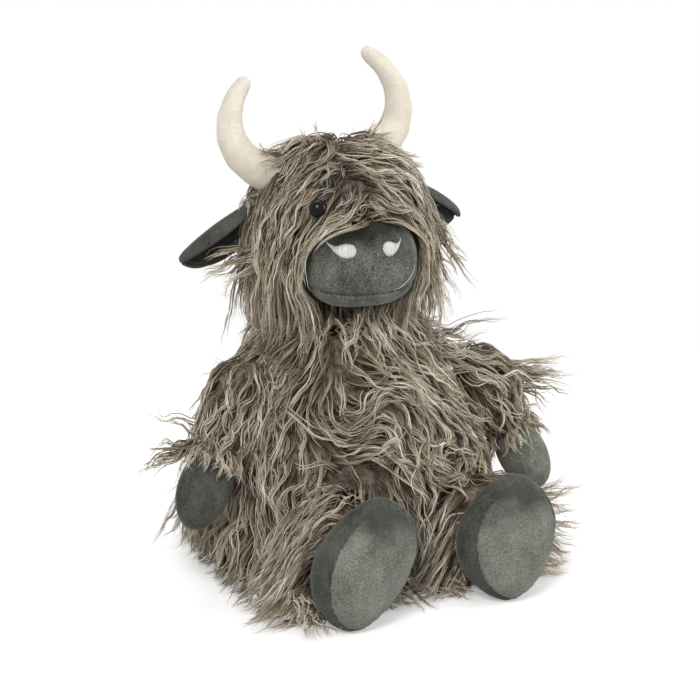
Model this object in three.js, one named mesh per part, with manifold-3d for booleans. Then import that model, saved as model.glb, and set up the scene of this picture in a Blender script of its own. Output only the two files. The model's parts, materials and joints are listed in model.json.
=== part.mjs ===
// Plush cow: a seated, long-haired soft toy, piece by piece as it is sewn and stuffed.
// Millimetres, +Z up. The cow faces -Y, so +X is its own left side.
// The origin is the middle of the flat seat base, on the floor.
import * as THREE from 'three';
import { mergeVertices } from 'three/addons/utils/BufferGeometryUtils.js';
import Module from 'manifold-3d';

const wasm = await Module();
wasm.setup();

// Fits that every piece shares
const seamGap = 0.3;          // between neighbours that are sewn or pressed together
const ballGap = 0.9;          // around a stuffed ball that turns in its socket
const overrun = 3;            // how far a cutter passes the face that it cuts
const cutSpan = 500;          // side of the blocks that cut a form along a plane
const pressedFlat = 0.5;      // how deep a rounded underside is pressed flat by the floor

// Torso: a pear that sits on its wide end
const torsoHalfWidth = 107;
const torsoHalfDepth = 98;
const torsoHeight = 190;
const torsoPile = 16;         // backing with its long pile, pressed together
const seatPile = 5;           // the same under the seat, where the weight flattens it
const necklineHeight = 170;
const torsoOutlineShares = [  // height, half width
  [0, 0], [0.001, 0.42], [0.0025, 0.75], [0.018, 0.885], [0.06, 0.95], [0.13, 0.985], [0.23, 1], [0.34, 0.985],
  [0.45, 0.92], [0.6, 0.78], [0.74, 0.635], [0.86, 0.515], [0.94, 0.38], [0.985, 0.2], [1, 0],
];

// Pouch of pellets that weighs the seat down
const pouchHalfWidth = 56;
const pouchHalfDepth = 46;
const pouchHeight = 34;
const pouchSetBack = 14;

// Neck: a stuffed ball between torso and head
const neckRadius = 28;
const neckSetBack = 6;
const neckRise = 6;           // its middle above the neckline
const neckHeight = necklineHeight + neckRise;

// Head: an egg of fur with the muzzle sewn into its front
const headHalfWidth = 71;
const headHalfDepth = 63;
const headHeight = 114;
const headRise = 7;           // its underside above the middle of the neck
const headBase = neckHeight + headRise;
const headSetBack = 5;
const headPile = 14;
const headOutlineShares = [   // height, half width
  [0, 0], [0.02, 0.28], [0.07, 0.52], [0.17, 0.77], [0.33, 0.95], [0.52, 1], [0.66, 0.95], [0.78, 0.84],
  [0.88, 0.66], [0.95, 0.44], [0.985, 0.24], [1, 0],
];

// Muzzle: short-pile cushion with a sewn lower lip
const muzzleHalfWidth = 40;
const muzzleHalfHeight = 32;
const muzzleLength = 60;
const muzzleForward = 39;     // its middle, in front of the origin
const muzzleAside = -5;
const muzzleRise = 38;        // its middle above the underside of the head
const muzzleTurn = -13;       // degrees, towards the cow's right
const shortPile = 1.6;        // short-pile fabric with its backing
const lipDrop = 18;           // lip seam below the middle of the muzzle
const muzzleOutlineShares = [ // length from back to front, half width
  [0, 0], [0.03, 0.34], [0.1, 0.6], [0.25, 0.87], [0.45, 1], [0.62, 0.985], [0.78, 0.87], [0.9, 0.63],
  [0.97, 0.36], [1, 0],
];

// Nostrils: embroidered drops with an outer tail
const nostrilLength = 15;
const nostrilHeight = 8;
const nostrilSpacing = 36;
const nostrilRise = 14;       // above the middle of the muzzle
const stitchHeight = 0.8;
const nostrilRoundShare = 0.5;

// Eyes: domed buttons with a stem and a washer inside the head
const eyeRadius = 6;
const eyeDome = 4.5;
const eyeSpacing = 77;
const eyeRise = 77;           // above the underside of the head
const stemRadius = 2;
const stemPastWasher = 2;
const washerRadius = 6.5;
const washerThickness = 1.5;
const washerFit = 1.2;        // room over the washer, which is flat on a round head
const eyeTiltShares = [0.49, -0.77, 0.41];     // outward way of the left eye

// Horns: firm curved tubes of smooth plush
const hornBaseRadius = 12.5;
const hornMiddleRadius = 10.5;
const hornTipRadius = 5.5;
const hornFabric = 1.2;
const hornRootAside = { left: 26, right: 30 };   // inside the head
const hornRootBack = { left: 24, right: 16 };
const hornRootRise = { left: 81, right: 79 };    // above the underside of the head
const hornSpan = { left: 43, right: 37 };        // outwards from its root
const hornSweep = { left: 32, right: 29 };       // backwards
const hornRise = { left: 77, right: 68 };        // upwards
const hornLineShares = {      // of span, sweep and rise, from the root to near the tip
  left: [
    [0, 0, 0], [0.49, 0.22, 0.18], [0.81, 0.34, 0.325], [1, 0.53, 0.545], [0.93, 0.78, 0.805], [0.605, 1, 1],
  ],
  right: [
    [0, 0, 0], [0.405, 0.14, 0.147], [0.785, 0.275, 0.28], [1, 0.485, 0.515], [0.89, 0.76, 0.795], [0.54, 1, 1],
  ],
};

// Ears: two curved panels sewn together, hung on the side of the head
const earLength = 49;
const earHalfWidth = 15.5;
const earFullnessPower = 1.3; // above 1 the widest place is nearer the head
const earThickness = 4.6;     // of each panel at its thickest
const earTrough = 7;          // how far the edges stand in front of the middle
const earWayShares = [0.9, 0.42, -0.05];       // way out of the head where the left ear is sewn on
const earDrop = 27;           // degrees below level
const earTipShare = 0.75;     // below 1 the end is blunter than an ellipse's, above 1 more pointed
const earRootShare = 1.35;

// Arms: sleeves that hang against the sides, with a hoof mitt each
const armLeanShares = [0.84, -0.273, 0.469];   // way out of the side that the left arm lies on
const shoulderAside = 72;
const shoulderForward = 19;
const shoulderHeight = 131;
const shoulderSlides = { left: 19, right: 1 }; // how much lower on the side each arm is sewn
const armLength = 102;        // shoulder to the tip of the mitt
const shoulderReach = 24;     // sleeve above the shoulder
const armLift = 21;           // middle line of the arm off the side of the torso
const armHalfWidth = 22.5;
const armPile = 8;
const armPress = 1.6;         // depth of the flat that each sleeve presses in the side of the torso
const cuffPlace = 50;         // from the shoulder
const mittHalfWidth = 19.5;
const mittHalfThickness = 18;
const sleeveOutlineShares = [ // length, half width
  [0, 0], [0.02, 0.36], [0.07, 0.68], [0.15, 0.9], [0.25, 1], [0.42, 0.99], [0.62, 0.93], [0.84, 0.86],
  [0.93, 0.72], [1, 0],
];
const mittOutlineShares = [   // length, half width
  [0, 0], [0.05, 0.42], [0.14, 0.66], [0.26, 0.8], [0.42, 0.95], [0.58, 1], [0.75, 0.91], [0.88, 0.68],
  [0.96, 0.4], [1, 0],
];
const mittRootShare = 0.66;   // where the mitt's form begins, as a share of the cuff's place

// Legs: a furry ball at the hip and a hoof with a sewn sole
const hipAside = { left: 56, right: 51 };
const hipForward = { left: 94, right: 91 };
const hipHeight = 37;
const hipRadius = 36;
const legPile = 9;
const anklePlace = 24;        // from the hip
const soleSeamPlace = 55;
const legLength = 62;
const hoofHalfWidth = 34.5;
const hoofHalfHeight = 44.5;
const toeShare = 0.1;         // how much narrower the hoof is at its lower end
const hoofRolls = { left: -2, right: 10 };     // degrees about the leg, top inwards
const hoofOutlineShares = [   // length, half width, half height, rise
  [0.1, 0, 0, 0], [0.16, 0.46, 0.36, 0], [0.28, 0.75, 0.6, 0], [0.39, 0.86, 0.72, 0.1], [0.5, 0.96, 0.87, 0.5],
  [0.6, 1, 0.97, 0.85], [0.7, 0.985, 1, 1], [0.8, 0.91, 0.97, 1], [0.887, 0.79, 0.89, 1],
  [0.96, 0.54, 0.64, 1], [1, 0, 0, 1],
];

// How finely the round forms are cut into faces
const bodySides = 18;
const limbSides = 14;
const hornSides = 10;
const hornRings = 7;
const earSides = 12;
const earRings = 8;
const smallSides = 10;
const ballSides = 18;
const neckRings = 10;
const hipRings = 8;
const hollowSides = 10;       // inside the torso, head and muzzle
const limbHollowSides = 10;
const hornHollowSides = 8;
const domeSteps = 3;
const nostrilSteps = 4;

// Finishes
const finishes = {
  longPile: { color: 0x8c8073, roughness: 0.95 },
  darkVelvet: { color: 0x4a4e4c, roughness: 0.85 },
  soleVelvet: { color: 0x6e726d, roughness: 0.85 },
  hornPlush: { color: 0xe0d6c6, roughness: 0.9 },
  thread: { color: 0xe9e8e2, roughness: 0.6 },
  eyePlastic: { color: 0x0b0a0a, roughness: 0.12 },
  washerPlastic: { color: 0xe8e8e4, roughness: 0.5 },
  filling: { color: 0xf1f0ea, roughness: 1 },
  pouchCloth: { color: 0xd9d4c8, roughness: 0.9 },
};
const finish = (kind) => new THREE.MeshStandardMaterial({ ...finishes[kind], metalness: 0 });

// Solids and geometries

// A closed solid from a geometry, turned outside out if its matrix mirrors it.
function solidOf(geometry, matrix = new THREE.Matrix4()) {
  const bare = geometry.clone();
  bare.deleteAttribute('normal');
  bare.deleteAttribute('uv');
  bare.applyMatrix4(matrix);
  const merged = mergeVertices(bare);
  const places = merged.getAttribute('position');
  const corners = Array.from(merged.getIndex().array);
  const triangles = [];
  let volume = 0;
  for (let i = 0; i < corners.length; i += 3) {
    const [a, b, c] = corners.slice(i, i + 3);
    if (a === b || b === c || c === a) continue;
    triangles.push([a, b, c]);
    const [first, second, third] = [a, b, c].map((k) => new THREE.Vector3().fromBufferAttribute(places, k));
    volume += first.dot(second.cross(third));
  }
  if (volume < 0) triangles.forEach((triangle) => triangle.reverse());
  return new wasm.Manifold(new wasm.Mesh({
    numProp: 3,
    vertProperties: new Float32Array(places.array),
    triVerts: new Uint32Array(triangles.flat()),
  }));
}

function geometryOf(solid) {
  const { vertProperties, triVerts } = solid.getMesh();
  const geometry = new THREE.BufferGeometry();
  geometry.setAttribute('position', new THREE.BufferAttribute(new Float32Array(vertProperties), 3));
  geometry.setIndex(new THREE.BufferAttribute(new Uint32Array(triVerts), 1));
  geometry.computeVertexNormals();
  return geometry;
}

function mirrored(geometry) {
  const other = geometry.clone().applyMatrix4(new THREE.Matrix4().makeScale(-1, 1, 1));
  other.setIndex(Array.from(other.getIndex().array).reverse());
  other.computeVertexNormals();
  return other;
}

function addPiece(group, name, solid, kind, side = 1) {
  const geometry = geometryOf(solid);
  const mesh = new THREE.Mesh(side < 0 ? mirrored(geometry) : geometry, finish(kind));
  mesh.name = name;
  group.add(mesh);
  return mesh;
}

// Everything on the far side of the plane through a point, as one large block.
function blockBeyond(point, way) {
  const turn = new THREE.Quaternion().setFromUnitVectors(new THREE.Vector3(0, 0, 1), way);
  const middle = point.clone().addScaledVector(way, cutSpan / 2);
  const block = new THREE.BoxGeometry(cutSpan, cutSpan, cutSpan);
  return solidOf(block, new THREE.Matrix4().compose(middle, turn, new THREE.Vector3(1, 1, 1)));
}

const ball = (radius, rings, centre = new THREE.Vector3(), around = ballSides) =>
  solidOf(new THREE.SphereGeometry(radius, around, rings).rotateZ(Math.PI / 2).translate(...centre));

// Stuffed forms

// Moves an outline inwards along its own normals, or outwards by a negative depth.
function insetStations(stations, depth, startDepth = depth) {
  const last = stations.length - 1;
  const radiusOf = (station) => (station.wide + station.high) / 2;
  return stations.map((station, i) => {
    if (i === 0) return { ...station, along: station.along + startDepth };
    if (i === last) return { ...station, along: station.along - depth };
    const before = stations[i - 1];
    const after = stations[i + 1];
    const run = new THREE.Vector2(radiusOf(after) - radiusOf(before), after.along - before.along).normalize();
    const near = run.x > 0 ? startDepth + (depth - startDepth) * run.y : depth;
    const share = 1 - depth * run.y / radiusOf(station);
    const along = station.along + near * run.x;
    return { ...station, along, wide: station.wide * share, high: station.high * share };
  });
}

// A closed form along +Y: half widths run along X and half heights along Z, before the form is rolled about Y.
function stuffedForm(stations, around, toe = 0, roll = 0) {
  const profile = stations.map(({ wide }, i) => new THREE.Vector2(wide === 0 ? 0 : 1, i));
  const form = new THREE.LatheGeometry(profile, around);
  const places = form.getAttribute('position');
  for (let i = 0; i < places.count; i += 1) {
    const { along, wide, high, rise } = stations[Math.round(places.getY(i))];
    const across = places.getX(i) * wide * (1 + toe * places.getZ(i));
    const level = places.getZ(i) * high;
    const lift = level * Math.cos(roll) - across * Math.sin(roll) + rise;
    places.setXYZ(i, across * Math.cos(roll) + level * Math.sin(roll), along, lift);
  }
  return form;
}

// The point of an upright form that reaches farthest along a way, where a plane square to it touches.
function touchPoint(stations, way) {
  const points = stations.filter(({ wide }) => wide > 0).map(({ along, wide, high }) => {
    const level = Math.hypot(wide * way.x, high * way.y);
    return new THREE.Vector3(wide * wide * way.x / level, high * high * way.y / level, along);
  });
  return points.reduce((best, point) => (point.dot(way) > best.dot(way) ? point : best));
}

// Half width and half depth of an upright form at a height between two of its stations.
function sectionAt(stations, height) {
  const next = stations.findIndex(({ along }) => along > height);
  const [below, above] = [stations[next - 1], stations[next]];
  const share = (height - below.along) / (above.along - below.along);
  const between = (from, to) => THREE.MathUtils.lerp(from, to, share);
  return { wide: between(below.wide, above.wide), high: between(below.high, above.high) };
}

// Torso
const upright = new THREE.Matrix4().makeRotationX(Math.PI / 2);
const neckPlace = new THREE.Vector3(0, neckSetBack, neckHeight);
const floorBlock = blockBeyond(new THREE.Vector3(), new THREE.Vector3(0, 0, -1));
const sides = [['left', 1], ['right', -1]];
const hipPlace = ([word, side]) => new THREE.Vector3(hipAside[word] * side, -hipForward[word], hipHeight);
const torsoStations = torsoOutlineShares.map(([height, width]) => ({
  along: height * (torsoHeight + pressedFlat) - pressedFlat,
  wide: width * torsoHalfWidth,
  high: width * torsoHalfDepth,
  rise: 0,
}));

const torsoForm = (depth, startDepth) => {
  const stations = depth === 0 ? torsoStations : insetStations(torsoStations, depth, startDepth);
  return solidOf(stuffedForm(stations, depth === 0 ? bodySides : hollowSides), upright);
};

function makeTorso() {
  const group = new THREE.Group();
  const neckSocket = ball(neckRadius + ballGap, neckRings, neckPlace);
  const neckline = blockBeyond(new THREE.Vector3(0, 0, necklineHeight), new THREE.Vector3(0, 0, 1));
  const hipSockets = sides.map((side) => ball(hipRadius + ballGap, hipRings, hipPlace(side)));
  const openings = hipSockets.reduce((all, cutter) => all.add(cutter), neckSocket.add(neckline));
  const hollow = torsoForm(torsoPile, seatPile);
  const armSeats = sides.map(([, side]) => {
    const way = armWay.clone().setX(armWay.x * side);
    return blockBeyond(way.clone().multiplyScalar(sideReach), way);
  });
  const pressed = armSeats.reduce((form, seat) => form.subtract(seat), torsoForm(0).subtract(floorBlock));
  const cover = pressed.subtract(hollow).subtract(openings);

  const filled = torsoForm(torsoPile + seamGap, seatPile + seamGap);
  const pouchForm = (grow) => {
    const radius = 1;
    const dome = new THREE.SphereGeometry(radius, hollowSides, hipRings);
    dome.scale(pouchHalfWidth + grow, pouchHalfDepth + grow, pouchHeight + grow);
    return solidOf(dome.translate(0, pouchSetBack, seatPile));
  };
  const pouch = pouchForm(0).intersect(filled);
  const filling = filled.subtract(openings).subtract(pouchForm(seamGap));

  addPiece(group, 'torso_cover', cover, 'longPile');
  addPiece(group, 'torso_stuffing', filling, 'filling');
  addPiece(group, 'pellet_pouch', pouch, 'pouchCloth');
  return group;
}

// Neck
function makeNeck() {
  const group = new THREE.Group();
  addPiece(group, 'neck_stuffing', ball(neckRadius, neckRings), 'filling');
  return group;
}

// Head: all of its places are worked out on the standing toy, then moved to the neck
const headStations = headOutlineShares.map(([height, width]) => ({
  along: height * headHeight,
  wide: width * headHalfWidth,
  high: width * headHalfDepth,
  rise: 0,
}));
const toHead = new THREE.Matrix4().makeTranslation(0, headSetBack, headBase).multiply(upright);

const headForm = (depth) => {
  const stations = depth === 0 ? headStations : insetStations(headStations, depth);
  return solidOf(stuffedForm(stations, depth === 0 ? bodySides : hollowSides), toHead);
};

const muzzlePlace = new THREE.Vector3(muzzleAside, -muzzleForward, headBase + muzzleRise);
const muzzleFrame = new THREE.Matrix4().makeTranslation(...muzzlePlace)
  .multiply(new THREE.Matrix4().makeRotationZ(THREE.MathUtils.degToRad(muzzleTurn)));
const muzzleStations = muzzleOutlineShares.map(([length, width]) => ({
  along: (length - 1 / 2) * muzzleLength,
  wide: width * muzzleHalfWidth,
  high: width * muzzleHalfHeight,
  rise: 0,
}));
const forwards = new THREE.Matrix4().makeScale(1, -1, 1);

const muzzleForm = (depth) => {
  const stations = insetStations(muzzleStations, depth);
  const around = depth > 0 ? hollowSides : limbSides;
  return solidOf(stuffedForm(stations, around), muzzleFrame.clone().multiply(forwards));
};

// The drop of one nostril, its round end towards the middle and its tail outwards and up.
function nostrilCutter(side) {
  const round = nostrilHeight * nostrilRoundShare;
  const outline = new THREE.Shape();
  outline.moveTo(nostrilLength - round, round);
  outline.quadraticCurveTo(nostrilLength / 2, round, round * nostrilRoundShare, round);
  outline.absarc(0, 0, round, Math.PI / 2, Math.PI * 3 / 2, false);
  outline.quadraticCurveTo(nostrilLength / 2, -round, nostrilLength - round, round);
  const drop = new THREE.ExtrudeGeometry(outline, {
    depth: muzzleLength,
    bevelEnabled: false,
    curveSegments: nostrilSteps,
  });
  drop.rotateX(Math.PI / 2);
  drop.translate(nostrilSpacing / 2 - nostrilLength / 2 + round, 0, nostrilRise);
  return solidOf(drop, muzzleFrame.clone().scale(new THREE.Vector3(side, 1, 1)));
}

// A horn's form, which follows its middle line.
function hornForm(word, side, depth) {
  const root = new THREE.Vector3(hornRootAside[word] * side, hornRootBack[word], headBase + hornRootRise[word]);
  const reach = new THREE.Vector3(hornSpan[word] * side, hornSweep[word], hornRise[word]);
  const points = hornLineShares[word].map((shares) => new THREE.Vector3(...shares).multiply(reach).add(root));
  const line = new THREE.CatmullRomCurve3(points);
  const length = line.getLength();
  const radii = [
    [0, hornBaseRadius], [length / 4, hornBaseRadius], [length / 2, hornMiddleRadius],
    [length * 3 / 4, (hornMiddleRadius + hornTipRadius) / 2], [length, hornTipRadius],
  ];
  const widths = new THREE.SplineCurve(radii.map(([along, radius]) => new THREE.Vector2(along, radius)));
  const stations = widths.getPoints(hornRings).map(({ x, y }) => ({ along: x, radius: y - depth }));
  const tip = stations.at(-1).radius;
  for (let step = 1; step <= domeSteps; step += 1) {
    const angle = (step / domeSteps) * Math.PI / 2;
    stations.push({ along: length + tip * Math.sin(angle), radius: tip * Math.cos(angle) });
  }
  stations.at(-1).radius = 0;
  stations.unshift({ along: 0, radius: 0 });
  const profile = stations.map(({ radius }, i) => new THREE.Vector2(radius, i));
  const form = new THREE.LatheGeometry(profile, depth > 0 ? hornHollowSides : hornSides);
  const places = form.getAttribute('position');
  const back = new THREE.Vector3(0, 1, 0);
  for (let i = 0; i < places.count; i += 1) {
    const { along } = stations[Math.round(places.getY(i))];
    const share = Math.min(along / length, 1);
    const tangent = line.getTangentAt(share);
    const across = new THREE.Vector3().crossVectors(tangent, back).normalize();
    const up = new THREE.Vector3().crossVectors(across, tangent);
    const point = line.getPointAt(share).addScaledVector(tangent, Math.max(along - length, 0));
    point.addScaledVector(across, places.getX(i)).addScaledVector(up, places.getZ(i));
    places.setXYZ(i, ...point);
  }
  return solidOf(form);
}

// The left eye rests on the front of the head, at its own height and distance from the middle.
const eyeAside = eyeSpacing / 2;
const eyeSection = sectionAt(headStations, eyeRise);
const eyeForward = eyeSection.high * Math.sqrt(1 - (eyeAside / eyeSection.wide) ** 2);
const eyePlace = new THREE.Vector3(eyeAside, headSetBack - eyeForward, headBase + eyeRise);
const eyeWay = new THREE.Vector3(...eyeTiltShares).normalize();

// A round form on the axis of the left eye: profile rows of [radius, outward place].

function eyeTurned(rows) {
  const turn = new THREE.Quaternion().setFromUnitVectors(new THREE.Vector3(0, 1, 0), eyeWay);
  const place = new THREE.Matrix4().compose(eyePlace, turn, new THREE.Vector3(1, 1, 1));
  return solidOf(new THREE.LatheGeometry(rows.map((row) => new THREE.Vector2(...row)), smallSides), place);
}

function eyePieces() {
  const washerTop = -headPile - seamGap;
  const washerBack = washerTop - washerThickness;
  const stemEnd = washerBack - stemPastWasher;
  const dome = Array.from({ length: domeSteps }, (_, i) => {
    const angle = (i / domeSteps) * Math.PI / 2;
    return [eyeRadius * Math.cos(angle), eyeDome * Math.sin(angle)];
  });
  const button = eyeTurned([[0, stemEnd], [stemRadius, stemEnd], [stemRadius, 0], ...dome, [0, eyeDome]]);
  const bore = stemRadius + seamGap;
  const washer = eyeTurned([
    [bore, washerBack], [washerRadius, washerBack], [washerRadius, washerTop], [bore, washerTop],
    [bore, washerBack],
  ]);
  const sinkRadius = eyeRadius + seamGap;
  const sinkFront = eyeDome + overrun;
  const sink = eyeTurned([[0, -seamGap], [sinkRadius, -seamGap], [sinkRadius, sinkFront], [0, sinkFront]]);
  const holeEnd = stemEnd - seamGap;
  const stemHole = eyeTurned([[0, holeEnd], [bore, holeEnd], [bore, overrun], [0, overrun]]);
  const seatBack = washerBack - seamGap;
  const seatFront = washerTop + washerFit;
  const seatRadius = washerRadius + seamGap;
  const washerSeat = eyeTurned([[0, seatBack], [seatRadius, seatBack], [seatRadius, seatFront], [0, seatFront]]);
  return { button, washer, sink, stemHole, washerSeat };
}

// The same solid on the other side of the body.
const mirrorSolid = (solid) => solidOf(geometryOf(solid), new THREE.Matrix4().makeScale(-1, 1, 1));
const onBothSides = (solid) => solid.add(mirrorSolid(solid));

function makeHead() {
  const group = new THREE.Group();
  const fromNeck = new THREE.Matrix4().makeTranslation(...neckPlace.clone().negate());
  const add = (name, solid, kind, side) =>
    addPiece(group, name, solidOf(geometryOf(solid), fromNeck), kind, side);

  const core = headForm(headPile);
  const neckSocket = ball(neckRadius + ballGap, neckRings, neckPlace);
  const hornHoles = hornForm('left', 1, -seamGap).add(hornForm('right', -1, -seamGap));
  const eye = eyePieces();

  const cover = headForm(0).subtract(core).subtract(neckSocket).subtract(muzzleForm(-seamGap))
    .subtract(hornHoles).subtract(onBothSides(eye.sink)).subtract(onBothSides(eye.stemHole))
    .subtract(onBothSides(eye.washerSeat));
  const muzzleFilling = muzzleForm(shortPile + seamGap);
  const filling = headForm(headPile + seamGap).add(muzzleFilling).subtract(neckSocket)
    .subtract(onBothSides(eye.washerSeat)).subtract(onBothSides(eye.stemHole));
  add('head_cover', cover, 'longPile');
  add('head_stuffing', filling, 'filling');

  const skin = muzzleForm(0).subtract(muzzleForm(shortPile)).subtract(core);
  const lip = muzzlePlace.clone().setZ(muzzlePlace.z - lipDrop);
  const halfGap = new THREE.Vector3(0, 0, seamGap / 2);
  const below = blockBeyond(lip.clone().add(halfGap), new THREE.Vector3(0, 0, -1));
  const above = blockBeyond(lip.clone().sub(halfGap), new THREE.Vector3(0, 0, 1));
  add('muzzle_upper', skin.subtract(below), 'darkVelvet');
  add('muzzle_lower', skin.subtract(above), 'darkVelvet');

  const threadLayer = muzzleForm(-seamGap - stitchHeight).subtract(muzzleForm(-seamGap));
  for (const [word, side] of sides) {
    add(`nostril_${word}`, threadLayer.intersect(nostrilCutter(side)), 'thread');
    add(`eye_${word}`, eye.button, 'eyePlastic', side);
    add(`eye_washer_${word}`, eye.washer, 'washerPlastic', side);
    const hornCover = hornForm(word, side, 0).subtract(hornForm(word, side, hornFabric)).subtract(core);
    add(`horn_cover_${word}`, hornCover, 'hornPlush');
    add(`horn_stuffing_${word}`, hornForm(word, side, hornFabric + seamGap).subtract(core), 'filling');
  }
  return group;
}

// Ears: the outer panel lies behind the inner one, and both bend into a trough
function earPanel(behind) {
  const radius = 1;
  const panel = new THREE.SphereGeometry(radius, earSides, earRings);
  panel.rotateZ(Math.PI / 2);
  if (!behind) panel.scale(1, -1, 1);
  const places = panel.getAttribute('position');
  for (let i = 0; i < places.count; i += 1) {
    const [x, y, z] = [places.getX(i), places.getY(i), places.getZ(i)];
    const ring = Math.hypot(y, z);
    const power = x < 0 ? earRootShare : earTipShare;
    const edge = ring > Number.EPSILON ? (z / ring) * Math.pow(ring, power) : 0;
    const share = (x + 1) / 2;
    const way = behind ? 1 : -1;
    const bulge = way * (Math.max(way * y, 0) * earThickness + seamGap / 2);
    const out = Math.pow(share, earFullnessPower) * earLength;
    places.setXYZ(i, out, bulge - earTrough * share * edge * edge, edge * earHalfWidth);
  }
  return panel;
}

const earOut = new THREE.Vector3(...earWayShares).normalize();
const earPlace = touchPoint(headStations, earOut).add(new THREE.Vector3(0, headSetBack, headBase));
earPlace.addScaledVector(earOut, seamGap * 2);

function makeEar(word, side) {
  const group = new THREE.Group();
  const drop = new THREE.Matrix4().makeRotationY(THREE.MathUtils.degToRad(earDrop));
  addPiece(group, `ear_outer_${word}`, solidOf(earPanel(true), drop), 'darkVelvet', side);
  addPiece(group, `ear_inner_${word}`, solidOf(earPanel(false), drop), 'darkVelvet', side);
  return group;
}

// Arms: each lies against the plane that touches the side of the torso
const armWay = new THREE.Vector3(...armLeanShares).normalize();
const armDown = new THREE.Vector3(0, 0, -1).addScaledVector(armWay, armWay.z).normalize();
const sideReach = touchPoint(torsoStations, armWay).dot(armWay) - armPress;
const shoulderPlace = new THREE.Vector3(shoulderAside, -shoulderForward, shoulderHeight);
shoulderPlace.addScaledVector(armWay, sideReach + seamGap - shoulderPlace.dot(armWay));

function armForm(shares, start, end, halfWidth, halfThickness, depth) {
  const rows = shares.map(([length, width]) => ({
    along: start + length * (end - start),
    wide: width * halfWidth,
    high: width * halfThickness,
    rise: armLift,
  }));
  const across = new THREE.Vector3().crossVectors(armDown, armWay);
  const basis = new THREE.Matrix4().makeBasis(across, armDown, armWay);
  const around = depth === 0 ? limbSides : limbHollowSides;
  return solidOf(stuffedForm(insetStations(rows, depth), around), basis);
}

function makeArm(word, side) {
  const group = new THREE.Group();
  const sleeveEnd = cuffPlace + armPile * 2;
  const mittStart = cuffPlace * mittRootShare;
  const sleeve = (depth) =>
    armForm(sleeveOutlineShares, -shoulderReach, sleeveEnd, armHalfWidth, armHalfWidth, depth);
  const mitt = (depth) =>
    armForm(mittOutlineShares, mittStart, armLength, mittHalfWidth, mittHalfThickness, depth);
  const cut = (place, way) =>
    blockBeyond(armDown.clone().multiplyScalar(place), armDown.clone().multiplyScalar(way));
  const torsoSide = blockBeyond(new THREE.Vector3(), armWay.clone().negate());
  const pastCuff = cut(cuffPlace - seamGap / 2, 1);
  const beforeCuff = cut(cuffPlace + seamGap / 2, -1);

  const cover = sleeve(0).subtract(sleeve(armPile)).subtract(pastCuff).subtract(torsoSide);
  const hoof = mitt(0).subtract(mitt(shortPile)).subtract(beforeCuff);
  const inSleeve = sleeve(armPile + seamGap);
  const inMitt = mitt(shortPile + seamGap);
  const filling = inSleeve.subtract(pastCuff).add(inMitt.subtract(beforeCuff)).add(inSleeve.intersect(inMitt));
  addPiece(group, `arm_sleeve_${word}`, cover, 'longPile', side);
  addPiece(group, `hand_hoof_${word}`, hoof, 'darkVelvet', side);
  addPiece(group, `arm_stuffing_${word}`, filling, 'filling', side);
  return group;
}

// Legs: the hoof's form runs from inside the hip ball to the front of its sole
function hoofForm(roll, depth) {
  const turn = THREE.MathUtils.degToRad(roll);
  const reach = Math.hypot(hoofHalfHeight * Math.cos(turn), hoofHalfWidth * Math.sin(turn));
  const rise = reach - pressedFlat - hipHeight;
  const stations = hoofOutlineShares.map(([length, width, height, lift]) => ({
    along: length * legLength,
    wide: width * hoofHalfWidth,
    high: height * hoofHalfHeight,
    rise: lift * rise,
  }));
  const around = depth === 0 ? limbSides : limbHollowSides;
  return solidOf(stuffedForm(insetStations(stations, depth), around, toeShare, turn), forwards);
}

function makeLeg(word, side) {
  const group = new THREE.Group();
  const roll = hoofRolls[word] * side;
  const ahead = new THREE.Vector3(0, -1, 0);
  const back = new THREE.Vector3(0, 1, 0);
  const planeAt = (place, way) => blockBeyond(new THREE.Vector3(0, -place, 0), way);
  const floorHere = blockBeyond(new THREE.Vector3(0, 0, -hipHeight), new THREE.Vector3(0, 0, -1));
  const pastAnkle = planeAt(anklePlace - seamGap / 2, ahead);
  const beforeAnkle = planeAt(anklePlace + seamGap / 2, back);
  const pastSeam = planeAt(soleSeamPlace - seamGap / 2, ahead);
  const beforeSeam = planeAt(soleSeamPlace + seamGap / 2, back);

  const skin = hoofForm(roll, 0).subtract(hoofForm(roll, shortPile)).subtract(floorHere);
  const core = (grow) => ball(hipRadius - legPile + grow, hipRings, new THREE.Vector3(), limbHollowSides);
  const cover = ball(hipRadius, hipRings).subtract(core(0)).subtract(pastAnkle);
  const hoofFilling = hoofForm(roll, shortPile + seamGap).subtract(beforeAnkle);
  const filling = core(-seamGap).add(hoofFilling);
  addPiece(group, `leg_sleeve_${word}`, cover, 'longPile', side);
  addPiece(group, `hoof_upper_${word}`, skin.subtract(beforeAnkle).subtract(pastSeam), 'darkVelvet', side);
  addPiece(group, `hoof_sole_${word}`, skin.subtract(beforeSeam), 'soleVelvet', side);
  addPiece(group, `leg_stuffing_${word}`, filling, 'filling', side);
  return group;
}

// The toy: the neck carries the head, and the torso and head carry what hangs on them
const cow = makeTorso();
const neck = makeNeck();
neck.position.copy(neckPlace);
cow.add(neck);
const head = makeHead();
neck.add(head);
for (const [word, side] of sides) {
  const ear = makeEar(word, side);
  ear.position.set(earPlace.x * side, earPlace.y, earPlace.z).sub(neckPlace);
  head.add(ear);

  const arm = makeArm(word, side);
  const armPlace = shoulderPlace.clone().addScaledVector(armDown, shoulderSlides[word]);
  arm.position.set(armPlace.x * side, armPlace.y, armPlace.z);
  cow.add(arm);

  const leg = makeLeg(word, side);
  leg.position.copy(hipPlace([word, side]));
  cow.add(leg);
}

export default cow;
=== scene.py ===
import json
import math
import bmesh
import bpy
import numpy as np
from mathutils import Matrix, Vector
from mathutils.bvhtree import BVHTree


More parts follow.
